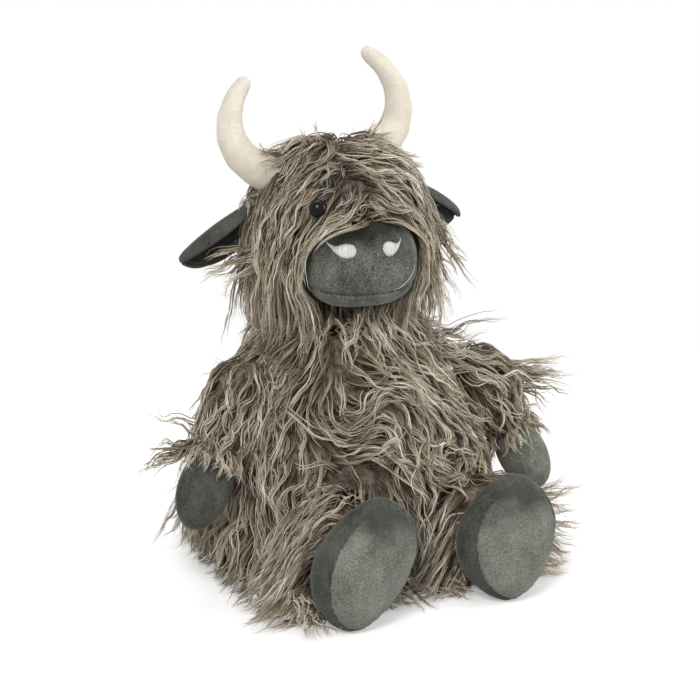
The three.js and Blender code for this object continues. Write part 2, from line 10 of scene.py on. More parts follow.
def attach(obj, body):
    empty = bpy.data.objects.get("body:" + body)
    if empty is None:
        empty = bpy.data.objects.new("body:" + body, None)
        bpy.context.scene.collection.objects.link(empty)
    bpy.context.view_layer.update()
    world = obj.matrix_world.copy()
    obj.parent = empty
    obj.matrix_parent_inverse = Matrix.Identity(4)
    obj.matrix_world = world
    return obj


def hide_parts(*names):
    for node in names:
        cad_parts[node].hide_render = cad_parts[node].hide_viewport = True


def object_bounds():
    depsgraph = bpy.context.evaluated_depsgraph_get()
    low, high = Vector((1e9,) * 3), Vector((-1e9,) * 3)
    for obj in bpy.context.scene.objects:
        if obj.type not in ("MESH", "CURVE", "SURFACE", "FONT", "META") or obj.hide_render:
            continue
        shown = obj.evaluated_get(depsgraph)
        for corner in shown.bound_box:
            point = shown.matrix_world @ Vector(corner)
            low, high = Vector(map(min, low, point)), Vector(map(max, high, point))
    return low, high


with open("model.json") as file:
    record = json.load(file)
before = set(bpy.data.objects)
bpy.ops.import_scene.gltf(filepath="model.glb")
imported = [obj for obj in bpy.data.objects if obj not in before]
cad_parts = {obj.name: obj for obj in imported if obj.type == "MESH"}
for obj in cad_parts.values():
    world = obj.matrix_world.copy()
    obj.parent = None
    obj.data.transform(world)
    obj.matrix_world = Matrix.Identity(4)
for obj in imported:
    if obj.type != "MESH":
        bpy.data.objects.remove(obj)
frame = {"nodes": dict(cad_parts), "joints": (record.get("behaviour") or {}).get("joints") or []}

# A seated plush cow with long crimped pile. Metres, the cow faces -Y, its own left is +X.
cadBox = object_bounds()
scene = bpy.context.scene
nodes = frame["nodes"]
pivots = {joint["child"]: Vector(joint["pos_m"]) for joint in frame["joints"]}
sides = (("left", 1), ("right", -1))
print("frame loaded with", len(nodes), "nodes")


# Finishes

def tone(red, green, blue):
    # 0 to 255 as picked on a screen, to the shader's linear colour
    shares = [value / 255 for value in (red, green, blue)]
    return tuple(s / 12.92 if s <= 0.04045 else ((s + 0.055) / 1.055) ** 2.4 for s in shares) + (1.0,)


class Wire:
    # one output of a node, which can be added, subtracted and multiplied
    def __init__(self, nodes, node, index=0):
        self.nodes, self.node, self.index = nodes, node, index

    def other(self, index):
        return Wire(self.nodes, self.node, index)

    def maths(self, operation, *values):
        return self.nodes.add("ShaderNodeMath", {"operation": operation}, dict(enumerate(values)))

    def __add__(self, value):
        return self.maths("ADD", self, value)

    def __radd__(self, value):
        return self.maths("ADD", value, self)

    def __sub__(self, value):
        return self.maths("SUBTRACT", self, value)

    def __rsub__(self, value):
        return self.maths("SUBTRACT", value, self)

    def __mul__(self, value):
        return self.maths("MULTIPLY", self, value)

    def __rmul__(self, value):
        return self.maths("MULTIPLY", value, self)

    def floor(self):
        return self.maths("FLOOR", self)

    def most(self, value):
        return self.maths("MINIMUM", self, value)


class Nodes:
    # a node tree and what is added to it
    def __init__(self, tree):
        self.tree = tree

    def add(self, kind, settings=None, inputs=None, output=0):
        node = self.tree.nodes.new(kind)
        for key, value in (settings or {}).items():
            if key == "stops":
                while len(node.color_ramp.elements) < len(value):
                    node.color_ramp.elements.new(0.5)
                for element, (place, colour) in zip(node.color_ramp.elements, value):
                    element.position, element.color = place, colour
            else:
                setattr(node, key, value)
        for key, value in (inputs or {}).items():
            self.join(value, node.inputs[key])
        return Wire(self, node, output)

    def join(self, value, socket):
        if isinstance(value, Wire):
            self.tree.links.new(value.node.outputs[value.index], socket)
        else:
            socket.default_value = value

    def place(self):
        return self.add("ShaderNodeTexCoord", output="Object")

    def noise(self, where, scale, detail=2.0, rough=0.5):
        return self.add("ShaderNodeTexNoise", None,
                        {"Vector": where, "Scale": scale, "Detail": detail, "Roughness": rough})

    def chance(self, value):
        return self.add("ShaderNodeTexWhiteNoise", {"noise_dimensions": "1D"}, {"W": value})

    def blend(self, share, first, second):
        return self.add("ShaderNodeMix", {"data_type": "RGBA", "blend_type": "MIX", "clamp_factor": True},
                        {0: share, 6: first, 7: second}, output=2)

    def spread(self, value, low, high, toLow=0.0, toHigh=1.0):
        ends = {"From Min": low, "From Max": high, "To Min": toLow, "To Max": toHigh}
        return self.add("ShaderNodeMapRange", {"clamp": True}, {"Value": value, **ends})

    def bump(self, height, strength, distance):
        values = {"Height": height, "Strength": strength, "Distance": distance}
        return self.add("ShaderNodeBump", None, values)

    def apart(self, where):
        # the three numbers of a vector, as outputs 0 to 2
        return self.add("ShaderNodeSeparateXYZ", None, {0: where})

    def strand(self):
        # output 0 runs along a strand, and output 1 across it
        return self.apart(self.add("ShaderNodeUVMap", {"uv_map": "OFBake"}))


class Finish(Nodes):
    # a material, its shader and the nodes that feed it
    def __init__(self, name, **fixed):
        self.material = bpy.data.materials.new(name)
        self.material.use_nodes = True
        super().__init__(self.material.node_tree)
        self.shader = self.tree.nodes["Principled BSDF"]
        self.feed(**fixed)

    def feed(self, **values):
        for socket, value in values.items():
            self.join(value, self.shader.inputs[socket.replace("_", " ")])


pileLook = {
    "root": (80, 70, 59), "low": (150, 137, 118), "middle": (204, 190, 168), "tip": (234, 224, 205),
    "lockShade": (0.60, 1.14), "strandShade": (0.78, 1.24), "fibreShade": (0.75, 1.2), "lightest": 1.2,
    "warmth": (1.2, 0.8), "lockLanes": 8, "lanes": 64,
    "browPlace": (-0.021, -0.040, 0.276), "browReach": 0.024, "browShade": 0.5,
}


def makePileFinish():
    # the strand's own UV: along it from root to tip, and across in one of many lanes of colour
    look = pileLook
    finish = Finish("long_pile", Roughness=0.55, Specular_IOR_Level=0.35)
    along = finish.strand()
    lane = along.other(1) * look["lanes"]
    lockChance = finish.chance((lane * (1 / look["lockLanes"])).floor() + 17.0)
    strandChance = finish.chance(lane.floor() + 311.0)
    grain = finish.add("ShaderNodeCombineXYZ", None, {0: along * 2.5, 1: lane * 8.0})
    fibres = finish.noise(grain, 1.0, 2.0, 0.6)
    length = along + (strandChance - 0.5) * 0.3 + (fibres - 0.5) * 0.3
    stops = [(0.0, "root"), (0.22, "low"), (0.55, "middle"), (1.0, "tip")]
    base = finish.add("ShaderNodeValToRGB", {"stops": [(share, tone(*look[word])) for share, word in stops]},
                      {0: length})
    shade = finish.spread(lockChance, 0.0, 1.0, *look["lockShade"])
    shade = shade * finish.spread(strandChance, 0.0, 1.0, *look["strandShade"])
    shade = shade * finish.spread(fibres, 0.3, 0.7, *look["fibreShade"])
    # a darker patch on the brow, below the crown
    fromBrow = finish.add("ShaderNodeVectorMath", {"operation": "DISTANCE"},
                          {0: finish.place(), 1: look["browPlace"]}, output=1)
    reach = look["browReach"]
    shade = shade * finish.spread(fromBrow, reach * 0.3, reach, look["browShade"], 1.0)
    warmth = finish.spread(lockChance, 0.0, 1.0, *look["warmth"])
    finish.feed(Base_Color=finish.add("ShaderNodeHueSaturation", None, {
        "Saturation": warmth, "Value": shade.most(look["lightest"]), "Color": base}))
    return finish.material


def makeBackingFinish():
    # knitted backing with the dense short roots of the pile
    finish = Finish("pile_backing", Roughness=0.95)
    place = finish.place()
    tufts = finish.noise(place, 260.0, 3.0, 0.6)
    patches = finish.noise(place, 40.0, 2.0, 0.5)
    colour = finish.blend(finish.spread(tufts, 0.35, 0.7), tone(58, 51, 43), tone(138, 125, 107))
    colour = finish.blend(finish.spread(patches, 0.3, 0.75, 0.0, 0.5), colour, tone(92, 82, 70))
    finish.feed(Base_Color=colour, Normal=finish.bump(tufts, 0.9, 0.002))
    return finish.material


def makeVelvetFinish(name, dark, light, sheen, speckle, darkerTop=None):
    # short dense pile: brushed patches, fine nap and a soft glow at grazing angles
    # darkerTop: the heights where a darker band towards the top starts and is full, and its colour; on the
    # muzzle that band is painted shade
    finish = Finish(name, Roughness=0.88, Sheen_Weight=sheen, Sheen_Roughness=0.35,
                    Sheen_Tint=tone(200, 204, 198), Specular_IOR_Level=0.2)
    place = finish.place()
    patches = finish.noise(place, 38.0, 3.0, 0.55)
    nap = finish.noise(place, 850.0, 2.0, 0.7)
    upright = finish.add("ShaderNodeMapping", None, {"Vector": place, "Scale": (1.0, 1.0, 0.35)})
    streaks = finish.noise(upright, 190.0)
    share = finish.spread(patches, 0.3, 0.72) * 0.55 + finish.spread(streaks, 0.3, 0.7) * 0.25
    share = share + (finish.spread(nap, 0.3, 0.7) - 0.5) * speckle
    colour = finish.blend(share, tone(*dark), tone(*light))
    # a darker band towards the top: painted shade under the fringe on the muzzle, and on the sole only
    # darker towards its top
    if darkerTop:
        height = finish.apart(place).other(2)
        darkerTopShare = finish.spread(height + (finish.noise(place, 45.0) - 0.5) * 0.04, darkerTop[0], darkerTop[1])
        colour = finish.blend(darkerTopShare * 0.85, colour, tone(*darkerTop[2]))
    height = nap * 0.7 + streaks * 0.5
    finish.feed(Base_Color=colour, Normal=finish.bump(height, 0.55, 0.0009))
    return finish.material


def makeHornFinish():
    finish = Finish("horn_plush", Roughness=0.9, Sheen_Weight=0.25, Sheen_Roughness=0.5,
                    Specular_IOR_Level=0.2)
    place = finish.place()
    fluff = finish.noise(place, 520.0, 3.0, 0.6)
    patches = finish.noise(place, 55.0, 2.0, 0.5)
    colour = finish.blend(finish.spread(patches, 0.3, 0.7), tone(212, 202, 186), tone(234, 226, 212))
    colour = finish.blend(finish.spread(fluff, 0.35, 0.65) * 0.35, colour, tone(198, 186, 169))
    finish.feed(Base_Color=colour, Normal=finish.bump(fluff * 0.8 + patches * 0.4, 0.6, 0.0012))
    return finish.material


def makeThreadFinish(name, dark, light):
    finish = Finish(name, Roughness=0.6, Sheen_Weight=0.15)
    place = finish.place()
    fibre = finish.noise(place, 1400.0, 2.0, 0.7)
    across = finish.strand().other(1)
    share = finish.spread(fibre, 0.3, 0.7) * 0.6 + finish.chance((across * pileLook["lanes"]).floor()) * 0.4
    colour = finish.blend(share, tone(*dark), tone(*light))
    finish.feed(Base_Color=colour, Normal=finish.bump(fibre, 0.5, 0.0004))
    return finish.material


def makeEyeFinish():
    # near black and glossy, with a trace of dust
    finish = Finish("eye_plastic", Coat_Weight=0.32, Coat_Roughness=0.05, Specular_IOR_Level=0.05)
    place = finish.place()
    dust = finish.noise(place, 300.0, 2.0, 0.5)
    finish.feed(Base_Color=finish.blend(dust, tone(3, 3, 3), tone(10, 9, 9)),
                Roughness=finish.spread(dust, 0.3, 0.7, 0.05, 0.12))
    return finish.material


def makeWasherFinish():
    # pale moulded plastic
    finish = Finish("washer_plastic", Roughness=0.5)
    grain = finish.noise(finish.place(), 150.0)
    finish.feed(Base_Color=finish.blend(grain, tone(218, 218, 214), tone(236, 236, 232)))
    return finish.material


pileFinish = makePileFinish()
backingFinish = makeBackingFinish()
# name: dark, light, sheen, speckle and, where the velvet darkens towards its top, heights and colour of that
# darker band
velvets = {
    # the muzzle's darker top band is painted shade from the fringe that hangs over it
    "muzzle": ((60, 62, 57), (134, 135, 126), 0.3, 0.9, (0.223, 0.246, (19, 20, 18))),
    "hoof": ((40, 42, 37), (99, 101, 93), 0.35, 0.6),
    # a lighter copy of the hoof velvet: painted light on the left mitt, where more light falls
    "brushed_hoof": ((84, 86, 79), (156, 158, 148), 0.35, 0.6),
    "sole": ((92, 94, 86), (142, 144, 134), 0.22, 1.0, (0.058, 0.080, (52, 54, 48))),
    "ear": ((52, 53, 49), (98, 99, 92), 0.3, 0.6),
    "ear_inner": ((40, 42, 38), (76, 78, 72), 0.25, 0.4),
}
velvet = {word: makeVelvetFinish(word + "_velvet", *values) for word, values in velvets.items()}
hornFinish = makeHornFinish()
threadFinish = makeThreadFinish("white_thread", (186, 186, 180), (246, 245, 240))
seamFinish = makeThreadFinish("seam_thread", (30, 31, 30), (52, 53, 51))
eyeFinish = makeEyeFinish()
washerFinish = makeWasherFinish()
print("finishes made")


# Helpers for pieces

def placed(name, data):
    piece = bpy.data.objects.new(name, data)
    scene.collection.objects.link(piece)
    return piece


def newPiece(name, shape):
    mesh = bpy.data.meshes.new(name)
    shape.to_mesh(mesh)
    shape.free()
    return placed(name, mesh)


def openShape(piece):
    shape = bmesh.new()
    shape.from_mesh(piece.data)
    return shape


def closeShape(piece, shape):
    shape.to_mesh(piece.data)
    shape.free()
    piece.data.update()


def settle(piece):
    # leaves the piece as its modifiers show it
    evaluated = piece.evaluated_get(bpy.context.evaluated_depsgraph_get())
    mesh = bpy.data.meshes.new_from_object(evaluated)
    piece.modifiers.clear()
    piece.data = mesh


def places(piece):
    table = np.empty(len(piece.data.vertices) * 3)
    piece.data.vertices.foreach_get("co", table)
    return table.reshape(-1, 3)


def setPlaces(piece, table):
    piece.data.vertices.foreach_set("co", np.ascontiguousarray(table).ravel())
    piece.data.update()


def normalsOf(piece):
    table = np.empty(len(piece.data.vertices) * 3, np.float32)
    piece.data.vertex_normals.foreach_get("vector", table)
    return table.reshape(-1, 3).astype(float)


def unit(table):
    return table / np.maximum(np.linalg.norm(table, axis=-1, keepdims=True), 1e-9)


def ease(value, low, high):
    # 0 up to low, 1 from high on, and a smooth rise between
    share = np.clip((value - low) / (high - low), 0, 1)
    return share * share * (3 - 2 * share)


def finished(piece, body, slot, finish, *replaced):
    piece.data.materials.clear()
    piece.data.materials.append(finish)
    piece.data.shade_smooth()
    if replaced:
        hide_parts(*replaced)
    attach(piece, body)
    return piece


# points nearer than this are one point
weld = 1e-6


def voxelSkin(name, parts, voxel, smoothing):
    # one closed skin round several frame nodes, with their facets rounded off
    shape = bmesh.new()
    for part in parts:
        shape.from_mesh(nodes[part].data)
    bmesh.ops.remove_doubles(shape, verts=shape.verts, dist=weld)
    skin = newPiece(name, shape)
    remesh = skin.modifiers.new("remesh", "REMESH")
    remesh.mode, remesh.voxel_size = "VOXEL", voxel
    settle(skin)
    shape = openShape(skin)
    islands = splitIslands(shape)
    bmesh.ops.delete(shape, geom=[v for island in islands[1:] for v in island], context="VERTS")
    for turn in range(smoothing):
        bmesh.ops.smooth_vert(shape, verts=shape.verts, factor=0.5,
                              use_axis_x=True, use_axis_y=True, use_axis_z=True)
    bmesh.ops.recalc_face_normals(shape, faces=shape.faces)
    closeShape(skin, shape)
    return skin


def splitIslands(shape):
    # the separate shells of a shape, the largest first
    left, islands = set(shape.verts), []
    while left:
        start = left.pop()
        island, edge = {start}, [start]
        while edge:
            vertex = edge.pop()
            for link in vertex.link_edges:
                near = link.other_vert(vertex)
                if near in left:
                    left.discard(near)
                    island.add(near)
                    edge.append(near)
        islands.append(island)
    return sorted(islands, key=len, reverse=True)


def scored(piece, point, way, **cut):
    # an edge loop along a plane; with clear_outer=True what lies beyond it goes, and the cut is closed
    shape = openShape(piece)
    geometry = shape.verts[:] + shape.edges[:] + shape.faces[:]
    bmesh.ops.bisect_plane(shape, geom=geometry, plane_co=point, plane_no=way, dist=weld, **cut)
    if cut:
        rim = [edge for edge in shape.edges if edge.is_boundary]
        caps = bmesh.ops.holes_fill(shape, edges=rim)["faces"]
        bmesh.ops.triangulate(shape, faces=caps)
        bmesh.ops.recalc_face_normals(shape, faces=shape.faces)
    closeShape(piece, shape)


def cutAway(piece, point, way):
    scored(piece, point, way, clear_outer=True)


def pressIn(piece, depth):
    # depth is one number, or one for each vertex
    setPlaces(piece, places(piece) - normalsOf(piece) * np.reshape(depth, (-1, 1)))


def spun(name, rows, around):
    # a closed form round Z from rows of (height, radius)
    shape = bmesh.new()
    line = [shape.verts.new((radius, 0, height)) for height, radius in rows]
    edges = [shape.edges.new(pair) for pair in zip(line, line[1:])]
    bmesh.ops.spin(shape, geom=line + edges, cent=(0, 0, 0), axis=(0, 0, 1), angle=2 * math.pi,
                   steps=around, use_merge=True)
    bmesh.ops.remove_doubles(shape, verts=shape.verts, dist=weld)
    bmesh.ops.recalc_face_normals(shape, faces=shape.faces)
    return newPiece(name, shape)


# Backing skins, a little inside the pressed pile of the frame
backingLook = {
    "torso": {"voxel": 0.005, "smoothing": 4, "depth": 0.0055, "floorDepth": 0.0015, "fullFrom": 0.03},
    "head": {"voxel": 0.004, "smoothing": 5, "depth": 0.005, "thinMore": 0.004},
    "neck": {"voxel": 0.004, "smoothing": 3, "depth": 0.001},
    "sleeve": {"voxel": 0.003, "smoothing": 4, "depth": 0.006},
    "hip": {"voxel": 0.003, "smoothing": 4, "depth": 0.004, "length": 0.024},
}
# the way from the shoulder out to the arm's middle, how far off that is, and the arm's length to its cuff
armLook = {"way": (0.84, -0.273, 0.469), "middle": 0.021, "cuff": 0.050}


def makeBacking(word, parts, end=""):
    look, parts = backingLook[word], [part + end for part in parts]
    return voxelSkin(word + "_backing" + end, parts, look["voxel"], look["smoothing"])


def thinPile(spots):
    # 1 on the upper sides of the head, where the pile lies flat round the ears and horns
    return ease(spots[:, 2], 0.230, 0.250) * ease(np.abs(spots[:, 0]), 0.024, 0.050)


torsoSkin = makeBacking("torso", ["torso_cover", "torso_stuffing", "pellet_pouch"])
look = backingLook["torso"]
floorShare = ease(places(torsoSkin)[:, 2], 0.0, look["fullFrom"])
pressIn(torsoSkin, look["floorDepth"] + (look["depth"] - look["floorDepth"]) * floorShare)
headSkin = makeBacking("head", ["head_cover", "head_stuffing"])
look = backingLook["head"]
pressIn(headSkin, look["depth"] + look["thinMore"] * thinPile(places(headSkin)))
neckSkin = makeBacking("neck", ["neck_stuffing"])
pressIn(neckSkin, backingLook["neck"]["depth"])
sleeveSkins, armWays, hipSkins = {}, {}, {}
for word, side in sides:
    x, y, z = armLook["way"]
    armWay = Vector((x * side, y, z)).normalized()
    armDown = (Vector((0, 0, -1)) + armWay * armWay.z).normalized()
    armWays[word] = (armWay, armDown)
    sleeve = makeBacking("sleeve", ["arm_sleeve", "arm_stuffing"], "_" + word)
    cutAway(sleeve, pivots["arm_" + word] + armDown * armLook["cuff"], armDown)
    pressIn(sleeve, backingLook["sleeve"]["depth"])
    sleeveSkins[word] = sleeve
    hip = makeBacking("hip", ["leg_sleeve", "leg_stuffing"], "_" + word)
    cutAway(hip, pivots["leg_" + word] + Vector((0, -backingLook["hip"]["length"], 0)), Vector((0, -1, 0)))
    pressIn(hip, backingLook["hip"]["depth"])
    hipSkins[word] = hip
print("backing skins made")


# Stuffed velvet pieces: closed forms that swell between their seams

clothLook = {
    "quality": 5, "mass": 0.02, "tension_stiffness": 3, "compression_stiffness": 3, "shear_stiffness": 1,
    "bending_stiffness": 0.05, "use_pressure": True, "vertex_group_mass": "sewn",
}
clothFrames = 20
clothJobs = []


def sewn(piece, held, look):
    # held is 1 for each vertex on a seam
    group = piece.vertex_groups.new(name="sewn")
    group.add([int(i) for i in np.flatnonzero(held)], 1.0, "REPLACE")
    clothJobs.append((piece, look))


def swellAll():
    # every stuffed piece under pressure at once, none of them moved further than its cap
    for piece, look in clothJobs:
        cloth = piece.modifiers.new("cloth", "CLOTH")
        for key, value in clothLook.items():
            setattr(cloth.settings, key, value)
        cloth.settings.uniform_pressure_force = look["pressure"]
        cloth.settings.effector_weights.gravity = 0
        cloth.point_cache.frame_start, cloth.point_cache.frame_end = 1, clothFrames
    for step in range(clothFrames):
        scene.frame_set(step + 1)
    view = bpy.context.evaluated_depsgraph_get()
    for piece, look in clothJobs:
        before = places(piece)
        move = places(piece.evaluated_get(view)) - before
        reach = np.linalg.norm(move, axis=1, keepdims=True)
        print(piece.name, "swells", round(float(reach.max()) * 1000, 2), "mm, before the cap")
        setPlaces(piece, before + move * np.minimum(1, look["cap"] / np.maximum(reach, 1e-9)))
        piece.modifiers.clear()
    scene.frame_set(1)
    for piece, look in clothJobs:
        piece.vertex_groups.clear()


def rounder(piece, levels=1):
    finer = piece.modifiers.new("finer", "SUBSURF")
    finer.levels = finer.render_levels = levels


# Muzzle, in its own frame: X across, Y from front to back, Z up
muzzleLook = {
    "halfWidth": 0.040, "halfHeight": 0.0325, "length": 0.060, "place": Vector((-0.005, -0.039, 0.221)),
    "turn": math.radians(-13), "fullLow": 0.115, "fullHigh": 0.04, "voxel": 0.003, "start": 0.99,
    "lipDrop": 0.019, "lipDip": 0.0035, "lipHeld": 0.0016, "lipReach": 0.0012, "lipDepth": 0.0013,
    "middleHeld": 0.0012, "middleTop": 0.004, "middleFoot": 0.02, "middleReach": 0.0009,
    "middleDepth": 0.0006, "front": 0.012, "pressure": 1200, "cap": 0.003,
}
muzzleFrame = Matrix.Translation(muzzleLook["place"]) @ Matrix.Rotation(muzzleLook["turn"], 4, "Z")
muzzleTurn, muzzlePlace = np.array(muzzleFrame.to_3x3()), np.array(muzzleFrame.translation)
# how far along, and how wide there
muzzleRows = [(-0.5, 0), (-0.47, 0.34), (-0.4, 0.6), (-0.25, 0.87), (-0.05, 1), (0.12, 0.985), (0.28, 0.87),
              (0.4, 0.65), (0.47, 0.38), (0.5, 0)]


def muzzleLocal(table):
    return (table - muzzlePlace) @ muzzleTurn


def muzzleWorld(local):
    return local @ muzzleTurn.T + muzzlePlace


def lipHeight(across):
    # the lip seam dips in its middle
    return muzzleLook["lipDrop"] - muzzleLook["lipDip"] * (across / muzzleLook["halfWidth"]) ** 2


def makeMuzzle():
    look = muzzleLook
    muzzle = spun("muzzle_upper_velvet", [(row * look["length"], wide) for row, wide in muzzleRows], 24)
    rounder(muzzle, 2)
    settle(muzzle)
    across, up, forward = places(muzzle).T
    # fuller at its lower corners
    corner = np.sin(2 * np.arctan2(up, across)) ** 2
    full = 1 + np.where(up < 0, look["fullLow"], look["fullHigh"]) * corner
    local = np.stack([across * look["halfWidth"] * full, -forward, up * look["halfHeight"] * full], 1)
    setPlaces(muzzle, muzzleWorld(local * look["start"]))
    shape = openShape(muzzle)
    bmesh.ops.recalc_face_normals(shape, faces=shape.faces)
    closeShape(muzzle, shape)
    remesh = muzzle.modifiers.new("remesh", "REMESH")
    remesh.mode, remesh.voxel_size = "VOXEL", look["voxel"]
    settle(muzzle)
    across, back, up = muzzleLocal(places(muzzle)).T
    lip = np.abs(up + lipHeight(across)) < look["lipHeld"]
    inMiddle = (np.abs(across) < look["middleHeld"]) & (back < 0)
    sewn(muzzle, lip | inMiddle & (up < look["middleTop"]) & (up > -look["middleFoot"]), look)
    return muzzle


muzzle = makeMuzzle()

# Hooves of the feet, with a darker side and a lighter sole
hoofLook = {
    "voxel": 0.003, "smoothing": 2, "ankle": 0.020, "seam": 0.0515, "pressure": 300, "cap": 0.004,
    "lean": {"left": 0.03, "right": 0.17}, "middle": 0.043, "half": 0.044, "wider": 1.06, "taller": 1.035,
    "topTaper": (0.34, 2.5), "footTaper": (0.18, 4), "floor": 0.0004, "puckerMiddle": 0.042, "puckers": 31,
    "puckerReach": 0.006, "puckerSize": 0.0004, "groove": 0.0016,
}
feet, soles, mitts, horns, ears = {}, {}, {}, {}, {}
for word, side in sides:
    look = hoofLook
    parts = [part + word for part in ("hoof_upper_", "hoof_sole_", "leg_stuffing_")]
    hoof = voxelSkin("hoof_side_velvet_" + word, parts, look["voxel"], look["smoothing"])
    hip = pivots["leg_" + word]
    cutAway(hoof, hip + Vector((0, -look["ankle"], 0)), Vector((0, 1, 0)))
    depth = places(hoof)[:, 1]
    seam = np.abs(depth - (hip.y - look["seam"])) < look["voxel"] * 0.5
    sewn(hoof, seam | (depth > hip.y - look["ankle"] - 0.002), look)
    feet[word] = hoof

# Hoof mitts of the arms, with a seam round the edge
mittLook = {
    "voxel": 0.003, "smoothing": 3, "above": 0.010, "pressure": 1200, "cap": 0.003, "wristHeld": 0.002,
    "seamHeld": 0.0016,
}
for word, side in sides:
    look = mittLook
    armWay, armDown = armWays[word]
    mitt = voxelSkin("hand_hoof_velvet_" + word, ["hand_hoof_" + word, "arm_stuffing_" + word],
                     look["voxel"], look["smoothing"])
    start = pivots["arm_" + word] + armDown * (armLook["cuff"] - look["above"])
    cutAway(mitt, start, -armDown)
    table = places(mitt) - np.array(start)
    edge = np.abs(table @ np.array(armWay) - armLook["middle"]) < look["seamHeld"]
    sewn(mitt, (table @ np.array(armDown) < look["wristHeld"]) | edge, look)
    mitts[word] = mitt

swellAll()
print("velvet pieces swollen")


def halved(piece, name, point, way):
    # the far side of a plane becomes a piece of its own
    other = placed(name, piece.data.copy())
    cutAway(piece, point, way)
    cutAway(other, point, -way)
    return other


def shapeHoof(hoof, hip, lean):
    # drawn in to a blunt point at the top and the bottom
    look = hoofLook
    table, normal = places(hoof), normalsOf(hoof)
    rise = table[:, 2] - look["middle"]
    level = np.abs(rise) / look["half"]
    (topShare, topPower), (footShare, footPower) = look["topTaper"], look["footTaper"]
    taper = np.where(rise > 0, topShare * level ** topPower, footShare * level ** footPower)
    table[:, 0] = hip.x + (table[:, 0] - hip.x) * (look["wider"] - taper)
    table[:, 0] += rise * lean
    table[:, 2] = look["half"] + (table[:, 2] - look["half"]) * look["taller"]
    table[:, 2] = np.maximum(table[:, 2], look["floor"])
    # puckers that run a short way from the seam
    gap = np.abs(table[:, 1] - (hip.y - look["seam"]))
    around = np.arctan2(table[:, 2] - look["puckerMiddle"], table[:, 0] - hip.x)
    pucker = np.sin(around * look["puckers"] + 3 * np.sin(around * 5))
    pucker = pucker * np.exp(-(gap / look["puckerReach"]) ** 2) * look["puckerSize"]
    groove = np.exp(-(gap / look["groove"]) ** 2) * look["groove"]
    normal[:, 1] = 0
    setPlaces(hoof, table + normal * (pucker - groove)[:, None])


for word, side in sides:
    hip, hoof, mitt = pivots["leg_" + word], feet[word], mitts[word]
    rounder(hoof)
    settle(hoof)
    seamPlace = hip + Vector((0, -hoofLook["seam"], 0))
    scored(hoof, seamPlace, Vector((0, -1, 0)))
    shapeHoof(hoof, hip, hoofLook["lean"][word])
    sole = halved(hoof, "hoof_sole_velvet_" + word, seamPlace, Vector((0, -1, 0)))
    finished(hoof, "leg_" + word, "velvet_dark", velvet["hoof"], "hoof_upper_" + word,
             "leg_stuffing_" + word)
    finished(sole, "leg_" + word, "velvet_sole", velvet["sole"], "hoof_sole_" + word)
    soles[word] = sole
    rounder(mitt)
    settle(mitt)
    # the left one takes the lighter copy of the hoof velvet, painted light where more light falls on it
    mittFinish = velvet["brushed_hoof" if word == "left" else "hoof"]
    finished(mitt, "arm_" + word, "velvet_dark", mittFinish, "hand_hoof_" + word)

look = muzzleLook
rounder(muzzle)
settle(muzzle)
across, back, up = muzzleLocal(places(muzzle)).T
front = back < look["front"]
groove = np.exp(-((np.abs(up + lipHeight(across))) / look["lipReach"]) ** 2) * look["lipDepth"] * front
onMiddle = ease(0.006 - up, 0, 0.004) * (up > -look["lipDrop"])
groove += np.exp(-(across / look["middleReach"]) ** 2) * look["middleDepth"] * front * onMiddle
pressIn(muzzle, groove)
muzzleTree = BVHTree.FromObject(muzzle, bpy.context.evaluated_depsgraph_get())
lip = look["place"] - Vector((0, 0, look["lipDrop"] - 0.001))
lowerLip = halved(muzzle, "muzzle_lower_velvet", lip, Vector((0, 0, -1)))
finished(muzzle, "head", "velvet_dark", velvet["muzzle"], "muzzle_upper")
finished(lowerLip, "head", "velvet_dark", velvet["muzzle"], "muzzle_lower")

# Horns, rounded copies of the frame's covers, a little fuller
hornLook = {"voxel": 0.002, "smoothing": 6, "fuller": 0.0006}
for word, side in sides:
    horn = voxelSkin("horn_plush_" + word, ["horn_cover_" + word, "horn_stuffing_" + word],
                     hornLook["voxel"], hornLook["smoothing"])
    pressIn(horn, -hornLook["fuller"])
    finished(horn, "head", "horn_plush", hornFinish, "horn_cover_" + word, "horn_stuffing_" + word)
    horns[word] = horn
print("muzzle, hooves and horns made")


# Ears: an outer panel whose upper edge rolls over a darker inner one, which lines the trough and ends under
# the roll. The inner one's values are shares of the outer one's.
earLook = {
    "length": 0.0475, "halfWidth": 0.0150, "trough": 0.007, "power": 1.7, "roll": 0.0070, "rollFrom": 0.0,
    "rollTurn": 2.85, "thick": 0.0034, "drop": 0.52, "rootWidth": 0.62, "wideFrom": 0.5, "pointFrom": 0.35,
    "inside": 0.010, "sag": {"left": -0.004, "right": 0.004},
    "inner": {"length": 0.96, "from": -0.9, "past": 1.25, "roll": 0.62, "lift": 0.4, "thick": 0.55},
}


